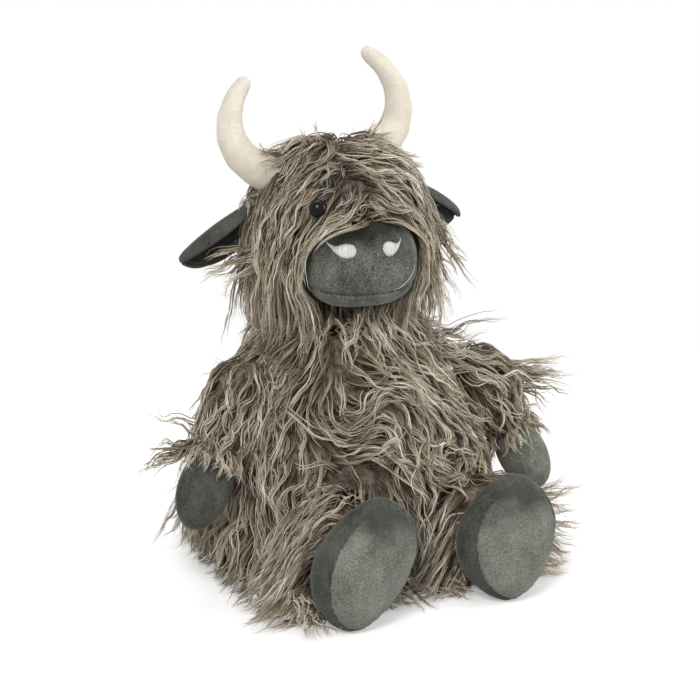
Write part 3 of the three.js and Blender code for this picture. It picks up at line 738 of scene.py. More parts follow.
def makeEar(word, side, inner):
    name = ("ear_inner_velvet_" if inner else "ear_outer_velvet_") + word
    shape = bmesh.new()
    bmesh.ops.create_grid(shape, x_segments=16, y_segments=18, size=1.0)
    look, lining, start = earLook, earLook["inner"], earLook["rollFrom"]
    for vertex in shape.verts:
        along, across = (vertex.co.x + 1) / 2, vertex.co.y
        taper = math.sin(min(along / look["wideFrom"], 1) * math.pi / 2)
        taper = look["rootWidth"] + (1 - look["rootWidth"]) * taper
        point = max((along - look["pointFrom"]) / (1 - look["pointFrom"]), 0)
        taper *= math.sqrt(max(1 - point ** 2.0, 0.0004))
        if inner:
            across = lining["from"] + (across + 1) / 2 * (start + lining["past"])
        lift = look["trough"] * taper * abs(min(across, start)) ** look["power"]
        level = min(across, start) * (look["halfWidth"] * taper)
        if across > start:
            turn = (across - start) / (1 - start) * look["rollTurn"]
            radius = look["roll"] * taper * (lining["roll"] if inner else 1)
            level += radius * math.sin(turn)
            lift += radius * (1 - math.cos(turn))
        if inner:
            lift += look["thick"] * lining["lift"]
        out = along * (look["length"] + look["inside"]) * (lining["length"] if inner else 1.0)
        vertex.co = (out - look["inside"], -lift, level - look["sag"][word])
    bmesh.ops.remove_doubles(shape, verts=shape.verts, dist=1e-5)
    place = Matrix.Translation(pivots["ear_" + word])
    if side < 0:
        place = place @ Matrix.Scale(-1, 4, (1, 0, 0))
    place = place @ Matrix.Rotation(look["drop"], 4, "Y")
    bmesh.ops.transform(shape, matrix=place, verts=shape.verts)
    bmesh.ops.recalc_face_normals(shape, faces=shape.faces)
    ear = newPiece(name, shape)
    if sum(face.normal.y * face.area for face in ear.data.polygons) > 0:
        ear.data.flip_normals()
    wall = ear.modifiers.new("wall", "SOLIDIFY")
    wall.thickness = look["thick"] * (lining["thick"] if inner else 1.0)
    wall.offset = 1 if inner else -1
    rounder(ear, 2)
    settle(ear)
    return ear


for word, side in sides:
    outer, inner = makeEar(word, side, False), makeEar(word, side, True)
    finished(outer, "ear_" + word, "velvet_dark", velvet["ear"], "ear_outer_" + word)
    finished(inner, "ear_" + word, "velvet_dark", velvet["ear_inner"], "ear_inner_" + word)
    ears[word] = outer
print("ears made")


# Eyes: domed buttons with a flat back and a stem
eyeLook = {
    "radius": 0.0060, "dome": 0.0045, "rim": 0.0004, "back": 0.0002, "stem": 0.014, "stemRadius": 0.002,
    "way": (0.49, -0.77, 0.41), "spot": (0.0385, -0.0431, 0.260), "proud": {"left": -0.006, "right": 0.0012},
}
eyeSpots = {}
for word, side in sides:
    look = eyeLook
    way = Vector(look["way"]).normalized()
    way.x *= side
    spot = Vector(look["spot"])
    spot.x *= side
    eyeSpots[word] = (spot, way)
    radius, rim, dome = look["radius"], look["rim"], look["dome"]
    rows = [(-look["stem"], 0), (-look["stem"], look["stemRadius"]), (-look["back"], look["stemRadius"]),
            (-look["back"], radius - rim), (rim, radius)]
    rows += [(rim + dome * math.sin(a), radius * math.cos(a)) for a in np.linspace(0.12, 1.45, 8)]
    rows += [(rim + dome, 0)]
    eye = spun("eye_button_" + word, rows, 32)
    turn = way.to_track_quat("Z", "Y").to_matrix().to_4x4()
    eye.data.transform(Matrix.Translation(spot + way * look["proud"][word]) @ turn)
    finished(eye, "head", "eye_plastic", eyeFinish, "eye_" + word)
    nodes["eye_washer_" + word].data.materials.clear()
    nodes["eye_washer_" + word].data.materials.append(washerFinish)


# Strands: tapered three-sided tubes, each one closed, with its own lane of colour

def makeStrands(name, paths, radii, lanes):
    triangle = bpy.data.curves.new(name + "_section", "CURVE")
    ring = triangle.splines.new("POLY")
    ring.points.add(2)
    ring.use_cyclic_u = True
    corners = [(math.cos(a), math.sin(a), 0, 1) for a in (0, 2 * math.pi / 3, 4 * math.pi / 3)]
    ring.points.foreach_set("co", np.ravel(corners))
    section = placed(name + "_section", triangle)
    curve = bpy.data.curves.new(name + "_line", "CURVE")
    curve.dimensions = "3D"
    curve.bevel_mode, curve.bevel_object, curve.use_fill_caps = "OBJECT", section, True
    count, steps = paths.shape[:2]
    points = np.ones((count, steps, 4))
    points[:, :, :3] = paths
    for line, widths in zip(points, radii):
        spline = curve.splines.new("POLY")
        spline.points.add(steps - 1)
        spline.points.foreach_set("co", line.ravel())
        spline.points.foreach_set("radius", widths)
    tubes = placed(name + "_line", curve)
    mesh = bpy.data.meshes.new_from_object(tubes.evaluated_get(bpy.context.evaluated_depsgraph_get()))
    # the caps come first, from the last strand to the first, then the tubes in order
    capAlong = np.tile([1, 1, 1, 0, 0, 0], count)
    tubeAlong = np.tile(np.repeat(np.linspace(0, 1, steps), 3), count)
    along = np.concatenate([capAlong, tubeAlong])
    lane = np.concatenate([np.repeat(lanes[::-1], 6), np.repeat(lanes, steps * 3)])
    corner = np.empty(len(mesh.loops), np.int32)
    mesh.loops.foreach_get("vertex_index", corner)
    layer = mesh.uv_layers[0]
    layer.name = "OFBake"
    across = (lane[corner] + 0.3 + 0.4 * (corner % 3) / 2) / pileLook["lanes"]
    layer.data.foreach_set("uv", np.stack([0.01 + 0.98 * along[corner], across], 1).ravel())
    for extra in (tubes, section):
        bpy.data.objects.remove(extra)
    piece = placed(name, mesh)
    shape = openShape(piece)
    bmesh.ops.remove_doubles(shape, verts=shape.verts, dist=1e-7)
    bmesh.ops.recalc_face_normals(shape, faces=shape.faces)
    closeShape(piece, shape)
    return piece


# Embroidered nostrils: satin stitches side by side over the velvet
nostrilLook = {
    "inner": {"left": 0.0082, "right": 0.0096}, "length": {"left": 0.0140, "right": 0.0180},
    "height": 0.0088, "rise": 0.0128, "tilt": 0.05, "spacing": 0.00045, "radius": 0.00034,
    "lift": 0.0001, "arch": 0.0007, "steps": 6,
    "top": [(0, 0), (0.05, 0.28), (0.15, 0.42), (0.32, 0.46), (0.48, 0.38), (0.62, 0.26), (0.76, 0.2),
            (0.9, 0.3), (1, 0.46)],
    "base": [(0, 0), (0.05, -0.3), (0.15, -0.5), (0.3, -0.6), (0.5, -0.58), (0.68, -0.4), (0.82, -0.12),
             (0.93, 0.18), (1, 0.44)],
}


def onMuzzle(across, up, lift):
    # the point of the muzzle's front at a place seen from ahead, lifted off the velvet
    start = muzzleFrame @ Vector((across, -0.08, up))
    way = (muzzleFrame.to_3x3() @ Vector((0, 1, 0))).normalized()
    hit, normal, index, distance = muzzleTree.ray_cast(start, way)
    if hit is None:
        hit, normal, index, distance = muzzleTree.find_nearest(start + way * 0.05)
    return hit + normal * lift


def makeNostril(word, side):
    look = nostrilLook
    inner, length, last = look["inner"][word], look["length"][word], look["steps"] - 1
    count = int(length / look["spacing"])
    paths, radii = [], []
    for i in range(count):
        share = (i + 0.5) / count
        top, base = (np.interp(share, *zip(*look[edge])) * look["height"] for edge in ("top", "base"))
        across = (inner + share * length) * side
        slope = look["tilt"] * share * length
        line = []
        for k in range(look["steps"]):
            up = look["rise"] + slope + base + (top - base) * k / last
            line.append(onMuzzle(across, up, look["lift"] + look["arch"] * math.sin(math.pi * k / last)))
        paths.append(line)
        radii.append([look["radius"] * (0.7 if k in (0, last) else 1.0) for k in range(look["steps"])])
    # neighbours take lanes of colour far apart
    lanes = np.arange(count) * 23 % pileLook["lanes"]
    return makeStrands("nostril_stitches_" + word, np.array(paths), np.array(radii), lanes)


for word, side in sides:
    finished(makeNostril(word, side), "head", "thread", threadFinish, "nostril_" + word)

# Stitches of the lip seam
look = {"count": 22, "reach": 0.031, "radius": 0.00036, "share": 0.6, "lift": 0.0001, "arch": 0.0003}
lines = []
for i in range(look["count"]):
    start = -look["reach"] + 2 * look["reach"] * i / look["count"]
    run = 2 * look["reach"] / look["count"] * look["share"]
    line = []
    for k in range(4):
        across = start + run * k / 3
        lift = look["lift"] + (look["arch"] if k in (1, 2) else 0)
        line.append(onMuzzle(across, -lipHeight(np.array(across)), lift))
    lines.append(line)
radii = np.full((len(lines), 4), look["radius"])
lipStitches = makeStrands("lip_stitches", np.array(lines), radii, np.zeros(len(lines)))
finished(lipStitches, "head", "thread", seamFinish)

# A light thread along the cheek dart on the cow's left
look = {"across": 0.0335, "bend": 0.016, "up": -0.002, "drop": 0.0155, "lift": 0.0001, "radius": 0.00022,
        "steps": 12}
arc = [onMuzzle(look["across"] - look["bend"] * t * t, look["up"] - look["drop"] * t, look["lift"])
       for t in np.linspace(0, 1, look["steps"])]
dart = makeStrands("dart_thread", np.array([arc]), np.full((1, look["steps"]), look["radius"]), np.zeros(1))
finished(dart, "head", "thread", threadFinish)
print("face made")


# Long pile

def buildSolidTree():
    # every firm surface that the pile lies on
    corners, faces = [], []
    for piece in solidPieces:
        first = len(corners)
        corners += [vertex.co.copy() for vertex in piece.data.vertices]
        faces += [[first + i for i in face.vertices] for face in piece.data.polygons]
    return BVHTree.FromPolygons(corners, faces)


def scatter(skin, spacing, keep, seed):
    # evenly spread root points on a skin, where keep allows them
    rng = np.random.default_rng(seed)
    skin.data.calc_loop_triangles()
    triangles = np.array([t.vertices[:] for t in skin.data.loop_triangles])
    table, normal = places(skin), normalsOf(skin)
    a, b, c = (table[triangles[:, i]] for i in range(3))
    area = np.linalg.norm(np.cross(b - a, c - a), axis=1) / 2
    count = int(area.sum() / spacing ** 2 * 5)
    chosen = rng.choice(len(triangles), count, p=area / area.sum())
    first, second = rng.random(count), rng.random(count)
    turned = first + second > 1
    first[turned], second[turned] = 1 - first[turned], 1 - second[turned]
    shares = np.stack([1 - first - second, first, second], 1)
    spots = np.einsum("nk,nkj->nj", shares, table[triangles[chosen]])
    ways = unit(np.einsum("nk,nkj->nj", shares, normal[triangles[chosen]]))
    allowed = keep(spots, ways)
    spots, ways = spots[allowed], ways[allowed]
    taken, cells = [], {}
    for i, cell in enumerate(np.floor(spots / spacing).astype(int)):
        near = [j for x in (-1, 0, 1) for y in (-1, 0, 1) for z in (-1, 0, 1)
                for j in cells.get((cell[0] + x, cell[1] + y, cell[2] + z), ())]
        if near and np.min(np.sum((spots[near] - spots[i]) ** 2, axis=1)) < (spacing * 0.86) ** 2:
            continue
        cells.setdefault(tuple(cell), []).append(i)
        taken.append(i)
    return spots[taken], ways[taken]


def nearSurface(table):
    # for each point the closest firm point, the way out there, and the height over it
    hits, outs, heights = np.empty_like(table), np.empty_like(table), np.empty(len(table))
    for i, point in enumerate(table):
        spot = Vector(point)
        hit, normal, index, distance = solidTree.find_nearest(spot)
        hits[i], outs[i] = hit, normal
        heights[i] = distance if (spot - hit).dot(normal) >= 0 else -distance
    return hits, outs, heights


# the room kept free round the middle of the muzzle's front and behind the eye's face
clearLook = {
    "halfWidth": 0.0425, "above": 0.0290, "below": 0.034, "power": 2.4, "depth": 0.02, "eyeDepth": 0.004,
}


def keptClear(table, look):
    # off the muzzle's front and the eye that shows
    if look.get("face"):
        room = clearLook
        local, power = muzzleLocal(table), room["power"]
        tall = np.where(local[:, 2] > 0, room["above"], room["below"])
        far = (np.abs(local[:, 0]) / room["halfWidth"]) ** power + (np.abs(local[:, 2]) / tall) ** power
        far = far ** (1 / power)
        on = (far < 1) & (local[:, 1] < room["depth"])
        local[on, 0] /= np.maximum(far[on], 0.2)
        local[on, 2] /= np.maximum(far[on], 0.2)
        table = np.where(on[:, None], muzzleWorld(local), table)
        spot, way = (np.array(value) for value in eyeSpots["right"])
        away = table - spot
        along = away @ way
        across = away - along[:, None] * way
        gap = np.linalg.norm(across, axis=1)
        on = (gap < look["eyeRoom"]) & (along > -room["eyeDepth"])
        table = table + np.where(on[:, None], unit(across) * (look["eyeRoom"] - gap)[:, None], 0)
    return table


def growLocks(spots, ways, flow, look, seed):
    # the middle line of each lock
    rng = np.random.default_rng(seed)
    count, steps = len(spots), look["steps"]
    length = look["length"](spots) * rng.uniform(*look["lockShare"], count)
    loose = rng.random(count) < look["loose"](spots)
    length = np.where(loose, length * look["looseLonger"], length)
    lift = np.where(loose, look["lift"] + look["looseLift"], look["lift"])
    lift = lift * rng.uniform(*look["liftShare"], count)
    lift = lift * (1 - ways[:, 2].clip(0, look["flatOnTop"]))
    layer = look["depth"] * rng.uniform(0.05, 1, count) ** 0.8 * look["cover"](spots)
    lines = np.empty((count, steps, 3))
    lines[:, 0] = spots - ways * look["root"]
    outs = ways
    way = unit(ways * lift[:, None] + flow(spots) * (1 - lift[:, None]))
    step = (length / (steps - 1))[:, None]
    heights, sunk = np.zeros(count), np.zeros(count, bool)
    waveLength = rng.uniform(*look["waveLength"], count)
    waveSize = rng.uniform(*look["waveSize"], count) * look["unruly"](spots)
    start = rng.uniform(0, 2 * math.pi, (count, 2))
    wander = unit(rng.normal(size=(count, 3))) * look["wander"] * rng.random((count, 1))
    wander = wander * look["unruly"](spots)[:, None]
    for k in range(1, steps):
        here = lines[:, k - 1]
        run = k / (steps - 1)
        close = np.exp(-np.maximum(heights, 0) / look["nearReach"])[:, None]
        aim = flow(here) + wander
        # pile lies along a surface that faces up and hangs free from one that faces down
        inwards = np.sum(aim * outs, axis=1, keepdims=True)
        faceUp = ease(outs[:, 2], *look["faceUp"])
        inwards = np.where(inwards < 0, inwards, inwards * faceUp[:, None] * look["settle"])
        aim = unit(aim - outs * inwards * close)
        back = np.clip((heights - layer) / look["hugReach"], 0, 1) * (heights < look["hugWithin"]) * faceUp
        aim = unit(aim - outs * (back * look["hug"] * np.where(loose, 0.2, 1.0))[:, None])
        comb = np.where(loose, 0.4, 1.0)[:, None] * look["comb"]
        way = unit(way * (1 - comb) + aim * comb)
        across = unit(np.cross(outs, way))
        turn = 2 * math.pi * length * run / waveLength
        bend = np.cos(turn + start[:, 0]) * waveSize / waveLength * 2 * math.pi
        tilt = np.cos(turn * 0.8 + start[:, 1]) * waveSize * 0.6 / waveLength * 2 * math.pi
        ramp = min(1, 0.3 + run * 1.4)
        there = here + unit(way + (across * bend[:, None] + outs * tilt[:, None]) * ramp) * step
        hits, outs, heights = nearSurface(there)
        sunk |= heights < -look["sunk"]
        room = look["root"] + layer * min(1, k / look["coverSteps"])
        low = heights < room
        there[low] = hits[low] + outs[low] * room[low][:, None]
        there = keptClear(there, look)
        there[:, 2] = np.maximum(there[:, 2], look["floor"] + room * 0.3)
        lines[:, k] = there
        heights = np.maximum(heights, room)
    # a lock that ran into a firm piece is left out
    return lines[~sunk], length[~sunk], ~sunk


def fillLocks(lines, length, look, seed):
    # the strands of each lock: spread at the root, drawn together towards the tip, and crimped
    rng = np.random.default_rng(seed)
    count, steps = lines.shape[:2]
    each = look["strands"]
    total = count * each
    share = rng.uniform(*look["strandShare"], (count, each, 1))
    place = np.linspace(0, 1, steps)[None, None, :] * share * (steps - 1)
    low = np.minimum(np.floor(place).astype(int), steps - 2)
    part = (place - low)[..., None]
    rows = np.arange(count)[:, None, None]
    middle = lines[rows, low] * (1 - part) + lines[rows, low + 1] * part
    tangent = unit(np.gradient(lines, axis=1))
    reference = unit(rng.normal(size=(count, 1, 3)))
    sideways = unit(np.cross(tangent, reference))
    upwards = np.cross(sideways, tangent)
    sideways = sideways[rows, low] * (1 - part) + sideways[rows, low + 1] * part
    upwards = upwards[rows, low] * (1 - part) + upwards[rows, low + 1] * part
    angle = rng.uniform(0, 2 * math.pi, (count, each, 1))
    radius = look["lockRadius"] * np.sqrt(rng.uniform(0.02, 1, (count, each, 1)))
    run = np.linspace(0, 1, steps)[None, None, :]
    drawn = rng.uniform(*look["drawn"], (count, 1, 1))
    spread = 1 - drawn * ease(run, *look["drawnOver"]) + (1 - drawn) * 0.8 * ease(run, *look["openOver"])
    stray = rng.random((count, each, 1)) < look["strayShare"]
    spread = np.where(stray, spread * look["strayWider"] + run * look["strayOut"], spread)
    first = np.cos(angle) * radius * spread
    second = np.sin(angle) * radius * spread
    wave = rng.uniform(*look["crimpLength"], (count, 1, 1))
    size = rng.uniform(*look["crimpSize"], (count, 1, 1))
    start = rng.uniform(0, 2 * math.pi, (count, 1, 1)) + rng.normal(0, look["crimpUneven"], (count, each, 1))
    turn = 2 * math.pi * run * share * length[:, None, None] / wave + start
    ramp = ease(run, *look["crimpFrom"])
    first = first + np.cos(turn) * size * ramp
    second = second + np.sin(turn) * size * look["crimpFlat"] * ramp
    paths = middle + sideways * first[..., None] + upwards * second[..., None]
    paths = keptClear(paths.reshape(-1, 3), look).reshape(total, steps, 3)
    paths = np.clip(paths, np.array(cadBox[0]) - look["pastLow"], np.array(cadBox[1]) + look["pastHigh"])
    paths[:, :, 2] = np.maximum(paths[:, :, 2], look["floor"])
    profile = np.interp(np.linspace(0, 1, steps), *zip(*look["taper"]))
    fine = np.where(rng.random((total, 1)) < look["fineShare"], 0.5, 1.0) * rng.uniform(0.8, 1.2, (total, 1))
    radii = profile[None, :] * fine * look["radius"]
    # the upper digit of a strand's lane is its lock's
    digits = pileLook["lockLanes"]
    lanes = np.repeat(rng.integers(0, digits, count), each) * digits + rng.integers(0, digits, total)
    return paths, radii, lanes


def makePile(name, skin, body, keep, flow, look, seed, sectors=None):
    # sectors: {word: test of the root points}, which splits a large pile into pieces
    spots, ways = scatter(skin, look["spacing"], keep, seed)
    lines, length, grown = growLocks(spots, ways, flow, look, seed + 1)
    print(name, "has", len(lines), "locks,", int((~grown).sum()), "left out")
    spots = spots[grown]
    for i, (word, test) in enumerate((sectors or {"": lambda spots: np.ones(len(spots), bool)}).items()):
        chosen = test(spots)
        if not chosen.any():
            continue
        piece = makeStrands(name + word, *fillLocks(lines[chosen], length[chosen], look, seed + 2 + i))
        finished(piece, body, "long_pile", pileFinish)


def same(value):
    return lambda spots: np.full(len(spots), value)


solidPieces = [torsoSkin, headSkin, neckSkin, muzzle, lowerLip]
for group in (hipSkins, feet, soles, mitts, sleeveSkins, horns, ears):
    solidPieces += group.values()
solidTree = buildSolidTree()
# What all pile shares. Lengths in metres, and pairs are the least and the most.
# taper: how wide a strand is along its length; root: how deep a lock starts and how low it may lie;
# sunk: a lock this deep in a firm piece is left out;
# coverSteps: the steps in which a lock rises to its own layer;
# pastLow and pastHigh: how far past the solids' box a strand may reach;
# drawnOver and openOver: where along a lock its strands close up, and open again at the tip.
commonLook = {
    "steps": 11, "strands": 8, "lockRadius": 0.0037, "radius": 0.00054, "fineShare": 0.6,
    "drawn": (0.5, 0.95), "strayShare": 0.10, "crimpLength": (0.016, 0.026), "crimpSize": (0.0003, 0.0010),
    "waveLength": (0.020, 0.034), "waveSize": (0.0006, 0.0022), "lift": 0.35, "comb": 0.5, "hug": 0.6,
    "settle": 1, "wander": 0.4, "depth": 0.009, "spacing": 0.0062, "eyeRoom": 0.0058,
    "loose": same(0.06), "unruly": same(1.0), "cover": same(1.0),
    "lockShare": (0.8, 1.15), "strandShare": (0.62, 1.0), "liftShare": (0.6, 1.4), "flatOnTop": 0.85,
    "looseLonger": 1.12, "looseLift": 0.3, "nearReach": 0.014, "faceUp": (-0.15, 0.25), "hugReach": 0.012,
    "hugWithin": 0.03, "coverSteps": 3.5, "drawnOver": (0.02, 0.65), "openOver": (0.7, 1.0),
    "strayWider": 1.6, "strayOut": 1.3, "crimpUneven": 0.6, "crimpFrom": (0.0, 0.35), "crimpFlat": 0.7,
    "taper": [(0, 0.7), (0.12, 1), (0.6, 0.95), (0.88, 0.6), (1, 0.16)],
    "root": 0.0012, "sunk": 0.006, "floor": 0.0008,
    "pastLow": np.array([0.0175, 0.0165, 0.0]), "pastHigh": np.array([0.0175, 0.0165, 0.017]),
}
down = np.array([0, 0, -1.0])


# Where the head's pile changes its way. Pairs are where a change starts and where it is full.
headPlan = {
    "crown": (0.004, 0.012), "crownHeights": (0.262, 0.288), "crownDroop": 0.25,
    "parting": -0.014, "partingWidth": 0.016, "browHeights": (0.244, 0.268), "browAhead": (-0.005, 0.02),
    "browMiddle": -0.010, "browReach": (0.030, 0.056), "sweptLeft": 1.25, "sweptRight": 0.8,
    "sweptDown": -0.75,
    "muzzle": (-0.003, 0.222), "muzzleWide": 0.047, "muzzleTall": 0.036, "muzzleMiddle": 0.12,
    "muzzleDown": 0.039, "muzzleReach": (1.2, 2.3), "faceAhead": (0.0, 0.03), "faceHeights": (0.180, 0.205),
}


def headFlow(spots):
    x, y, z = spots.T
    plan, none = headPlan, np.zeros(len(x))
    flow = np.tile(down, (len(spots), 1))
    # away from the crown
    crown = np.stack([x - plan["crown"][0], y - plan["crown"][1], none], 1)
    share = ease(z, *plan["crownHeights"])[:, None]
    flow = flow * (1 - share) + (unit(crown) + down * plan["crownDroop"]) * share
    # parted on the brow, and swept to both sides
    side = np.clip((x - plan["parting"]) / plan["partingWidth"], -1, 1)
    brow = ease(z, *plan["browHeights"]) * ease(-y, *plan["browAhead"])
    brow = brow * (1 - ease(np.abs(x - plan["browMiddle"]), *plan["browReach"]))
    sideways = side * np.where(side > 0, plan["sweptLeft"], plan["sweptRight"])
    swept = np.stack([sideways, none, np.full(len(x), plan["sweptDown"])], 1)
    flow = flow * (1 - brow[:, None]) + unit(swept) * brow[:, None]
    # round the muzzle
    across, up = (x - plan["muzzle"][0]) / plan["muzzleWide"], (z - plan["muzzle"][1]) / plan["muzzleTall"]
    middle = plan["muzzleMiddle"]
    across = np.where(np.abs(across) < middle, np.where(across < 0, -middle, middle), across)
    far = np.maximum(across ** 2 + up ** 2, 1.0)
    near = 1 - ease(far, *plan["muzzleReach"])
    past = np.stack([2 * across * up / far ** 2 * plan["muzzleWide"], none,
                     (-1 + 2 * up ** 2 / far ** 2 - 1 / far) * plan["muzzleDown"]], 1)
    front = (ease(-y, *plan["faceAhead"]) * ease(z, *plan["faceHeights"]) * near)[:, None]
    flow = flow * (1 - front) + unit(past) * front
    return unit(flow)


def headKeep(spots, ways):
    x, y, z = spots.T
    inMuzzle = (((x + 0.005) / 0.036) ** 2 + ((z - 0.221) / 0.029) ** 2 < 1) & (y < -0.01)
    inNeck = (z < 0.194) & (np.hypot(x, y - 0.006) < 0.027)
    spot, way = eyeSpots["right"]
    gap = np.linalg.norm(np.cross(spots - np.array(spot), np.array(way)), axis=1)
    return ~(inMuzzle | inNeck | ((gap < 0.0085) & (y < 0)))


# The torso's pile: down and outwards, swirls on the belly, a sweep across it, and over the arms
torsoPlan = {
    "bellyAhead": (0.02, 0.08), "bellyFoot": (0.03, 0.07), "bellyTop": (0.12, 0.16), "bellySwirl": 0.8,
    "swirl": 0.12, "floorHeights": (0.008, 0.035), "floorFlat": 0.75, "outward": 0.15, "floorOutward": 0.35,
    "shoulderFoot": (0.118, 0.145), "shoulderSide": (0.015, 0.05), "shoulderTop": (0.19, 0.21),
    "overArm": (0.8, -0.12, -0.55), "sweepMiddle": (-0.012, 0.124), "sweepReach": 0.036,
    "sweepAhead": (0.02, 0.05), "sweepWay": (1.1, 0, 0.5),
}


def torsoFlow(spots):
    x, y, z = spots.T
    plan, none = torsoPlan, np.zeros(len(x))
    outward = unit(np.stack([x, y, none], 1))
    swirl = np.stack([np.sin(z * 95 + x * 60), none, np.cos(x * 75 - z * 40)], 1)
    belly = ease(-y, *plan["bellyAhead"]) * ease(z, *plan["bellyFoot"]) * (1 - ease(z, *plan["bellyTop"]))
    swirlShare = (belly * plan["bellySwirl"] + plan["swirl"])[:, None]
    low = (1 - ease(z, *plan["floorHeights"]))[:, None]
    shoulder = ease(z, *plan["shoulderFoot"]) * ease(np.abs(x), *plan["shoulderSide"])
    shoulder = (shoulder * (1 - ease(z, *plan["shoulderTop"])))[:, None]
    aside, ahead, up = plan["overArm"]
    overArm = np.stack([np.sign(x) * aside, np.full(len(x), ahead), np.full(len(x), up)], 1)
    fromSweep = (x - plan["sweepMiddle"][0]) ** 2 + (z - plan["sweepMiddle"][1]) ** 2
    sweep = (np.exp(-fromSweep / plan["sweepReach"] ** 2) * ease(-y, *plan["sweepAhead"]))[:, None]
    outwardShare = plan["outward"] + plan["floorOutward"] * low
    flow = down * (1 - low * plan["floorFlat"]) + outward * outwardShare + swirl * swirlShare
    flow = flow + np.array(plan["sweepWay"]) * sweep
    return unit(flow * (1 - shoulder) + overArm * shoulder)


def torsoLength(spots):
    x, y, z = spots.T
    shoulder = ease(z, 0.118, 0.145) * ease(np.abs(x), 0.02, 0.05)
    floorEdge = (1 - ease(z, 0.016, 0.065)) * ease(y + 0.06, 0, 0.05)
    belly = ease(-y, 0.04, 0.08) * ease(z, 0.05, 0.08) * (1 - ease(z, 0.12, 0.15))
    return 0.055 + 0.024 * shoulder - 0.045 * floorEdge - 0.012 * belly


def torsoUnruly(spots):
    x, y, z = spots.T
    return 1 + 0.6 * ease(-y, 0.02, 0.07) * ease(z, 0.04, 0.07) * (1 - ease(z, 0.125, 0.155))


def torsoKeep(spots, ways):
    x, y, z = spots.T
    blocked = (ways[:, 2] < -0.75) | ((z > 0.155) & (np.hypot(x, y - 0.006) < 0.026))
    for word, side in sides:
        blocked |= np.linalg.norm(spots - np.array(pivots["leg_" + word]), axis=1) < 0.036
    return ~blocked


def neckFlow(spots):
    outward = unit(spots * np.array([1, 1, 0]) - np.array([0, 0.006, 0]))
    return unit(outward * 0.35 + down)


def neckKeep(spots, ways):
    x, y, z = spots.T
    return (z < 0.196) & (z > 0.160) & (np.hypot(x, y - 0.006) > 0.015)


def armFrame(word):
    armWay, armDown = armWays[word]
    return np.array(pivots["arm_" + word]), np.array(armWay), np.array(armDown)


def sleeveFlow(word, side):
    pivot, outside, axis = armFrame(word)
    middle = np.array(pivots["arm_" + word] + armWays[word][0] * armLook["middle"])
    reach = 0.7 if side > 0 else 0.15

    def flow(spots):
        away = spots - middle
        along = away @ axis
        radial = unit(away - along[:, None] * axis)
        flare = ease(along, 0.02, 0.07)[:, None]
        cap = (1 - ease(along, -0.005, 0.03))[:, None]
        way = axis * (1 - 0.4 * cap) + radial * (0.1 + 0.4 * flare)
        return unit(way + outside * (0.08 + reach * cap) + down * 0.25)
    return flow


def sleeveLength(word):
    # shorter towards the cuff, so that the hoof shows
    pivot, outside, axis = armFrame(word)
    shortest, longest = 0.019, {"left": 0.056, "right": 0.040}[word]

    def length(spots):
        toCuff = armLook["cuff"] - (spots - pivot) @ axis
        return np.clip(shortest + toCuff * 0.85, shortest, longest)
    return length


def sleeveKeep(word):
    pivot, outside, axis = armFrame(word)

    def keep(spots, ways):
        onSeat = ((spots - pivot) @ outside < 0.003) & (ways @ outside < -0.8)
        return ~(onSeat | (ways @ axis > 0.85))
    return keep


def hipFlow(word, side):
    middle = np.array(pivots["leg_" + word])
    sweep = np.array([-0.40, -0.15, -0.1]) if side < 0 else np.array([0.1, -0.1, 0])

    def flow(spots):
        radial = unit((spots - middle) * np.array([1, 0, 1.0]))
        low = (1 - ease(spots[:, 2], 0.01, 0.03))[:, None]
        return unit(radial * (0.5 + 0.4 * low) + down * (0.6 - 0.5 * low) + sweep)
    return flow


def hipKeep(word):
    def keep(spots, ways):
        buried = np.hypot(spots[:, 0], spots[:, 1] * 1.09) < 0.088
        return ~(buried | (ways[:, 1] < -0.9) | (ways[:, 2] < -0.85))
    return keep


def sectorsOf(words):
    # equal slices round the upright axis, the first one round the cow's front
    def test(i):
        def inside(spots):
            turn = (np.arctan2(spots[:, 0], -spots[:, 1]) / (2 * math.pi) + 0.5 / len(words)) % 1
            return np.floor(turn * len(words)).astype(int) % len(words) == i
        return inside
    return {word: test(i) for i, word in enumerate(words)}


headSectors = sectorsOf(["front", "left", "back", "right"])
torsoSectors = sectorsOf(["front", "front_left", "back_left", "back", "back_right", "front_right"])


def headLength(spots):
    z = spots[:, 2]
    return 0.056 + 0.026 * ease(0.265 - z, 0, 0.05) - 0.020 * ease(z, 0.274, 0.286)


def headCover(spots):
    # lower over the ears, and on the crown at the foot of the right horn
    x, z = spots[:, 0], spots[:, 2]
    return (1 - 0.7 * thinPile(spots)) * (1 - 0.75 * ease(z, 0.270, 0.283) * ease(-x, 0.012, 0.028))


def headLoose(spots):
    return (0.05 + 0.03 * ease(spots[:, 2], 0.275, 0.285)) * (1 - 0.8 * thinPile(spots))


headLook = dict(commonLook, length=headLength, face=True, comb=0.6, wander=0.28, depth=0.0075,
                spacing=0.0054, waveSize=(0.0005, 0.0020), cover=headCover, loose=headLoose)
torsoLook = dict(commonLook, length=torsoLength, spacing=0.0064, wander=0.75, unruly=torsoUnruly,
                 waveLength=(0.024, 0.042))
neckLook = dict(commonLook, length=same(0.072), spacing=0.0048, lift=0.4, depth=0.014, wander=0.7)
sleeveLook = dict(commonLook, depth=0.0035, lift=0.2, hug=0.8, loose=same(0.16), spacing=0.0054,
                  unruly=same(1.7))
hipLook = dict(commonLook, length=same(0.054), spacing=0.0060, wander=0.25, waveSize=(0.0005, 0.0016))

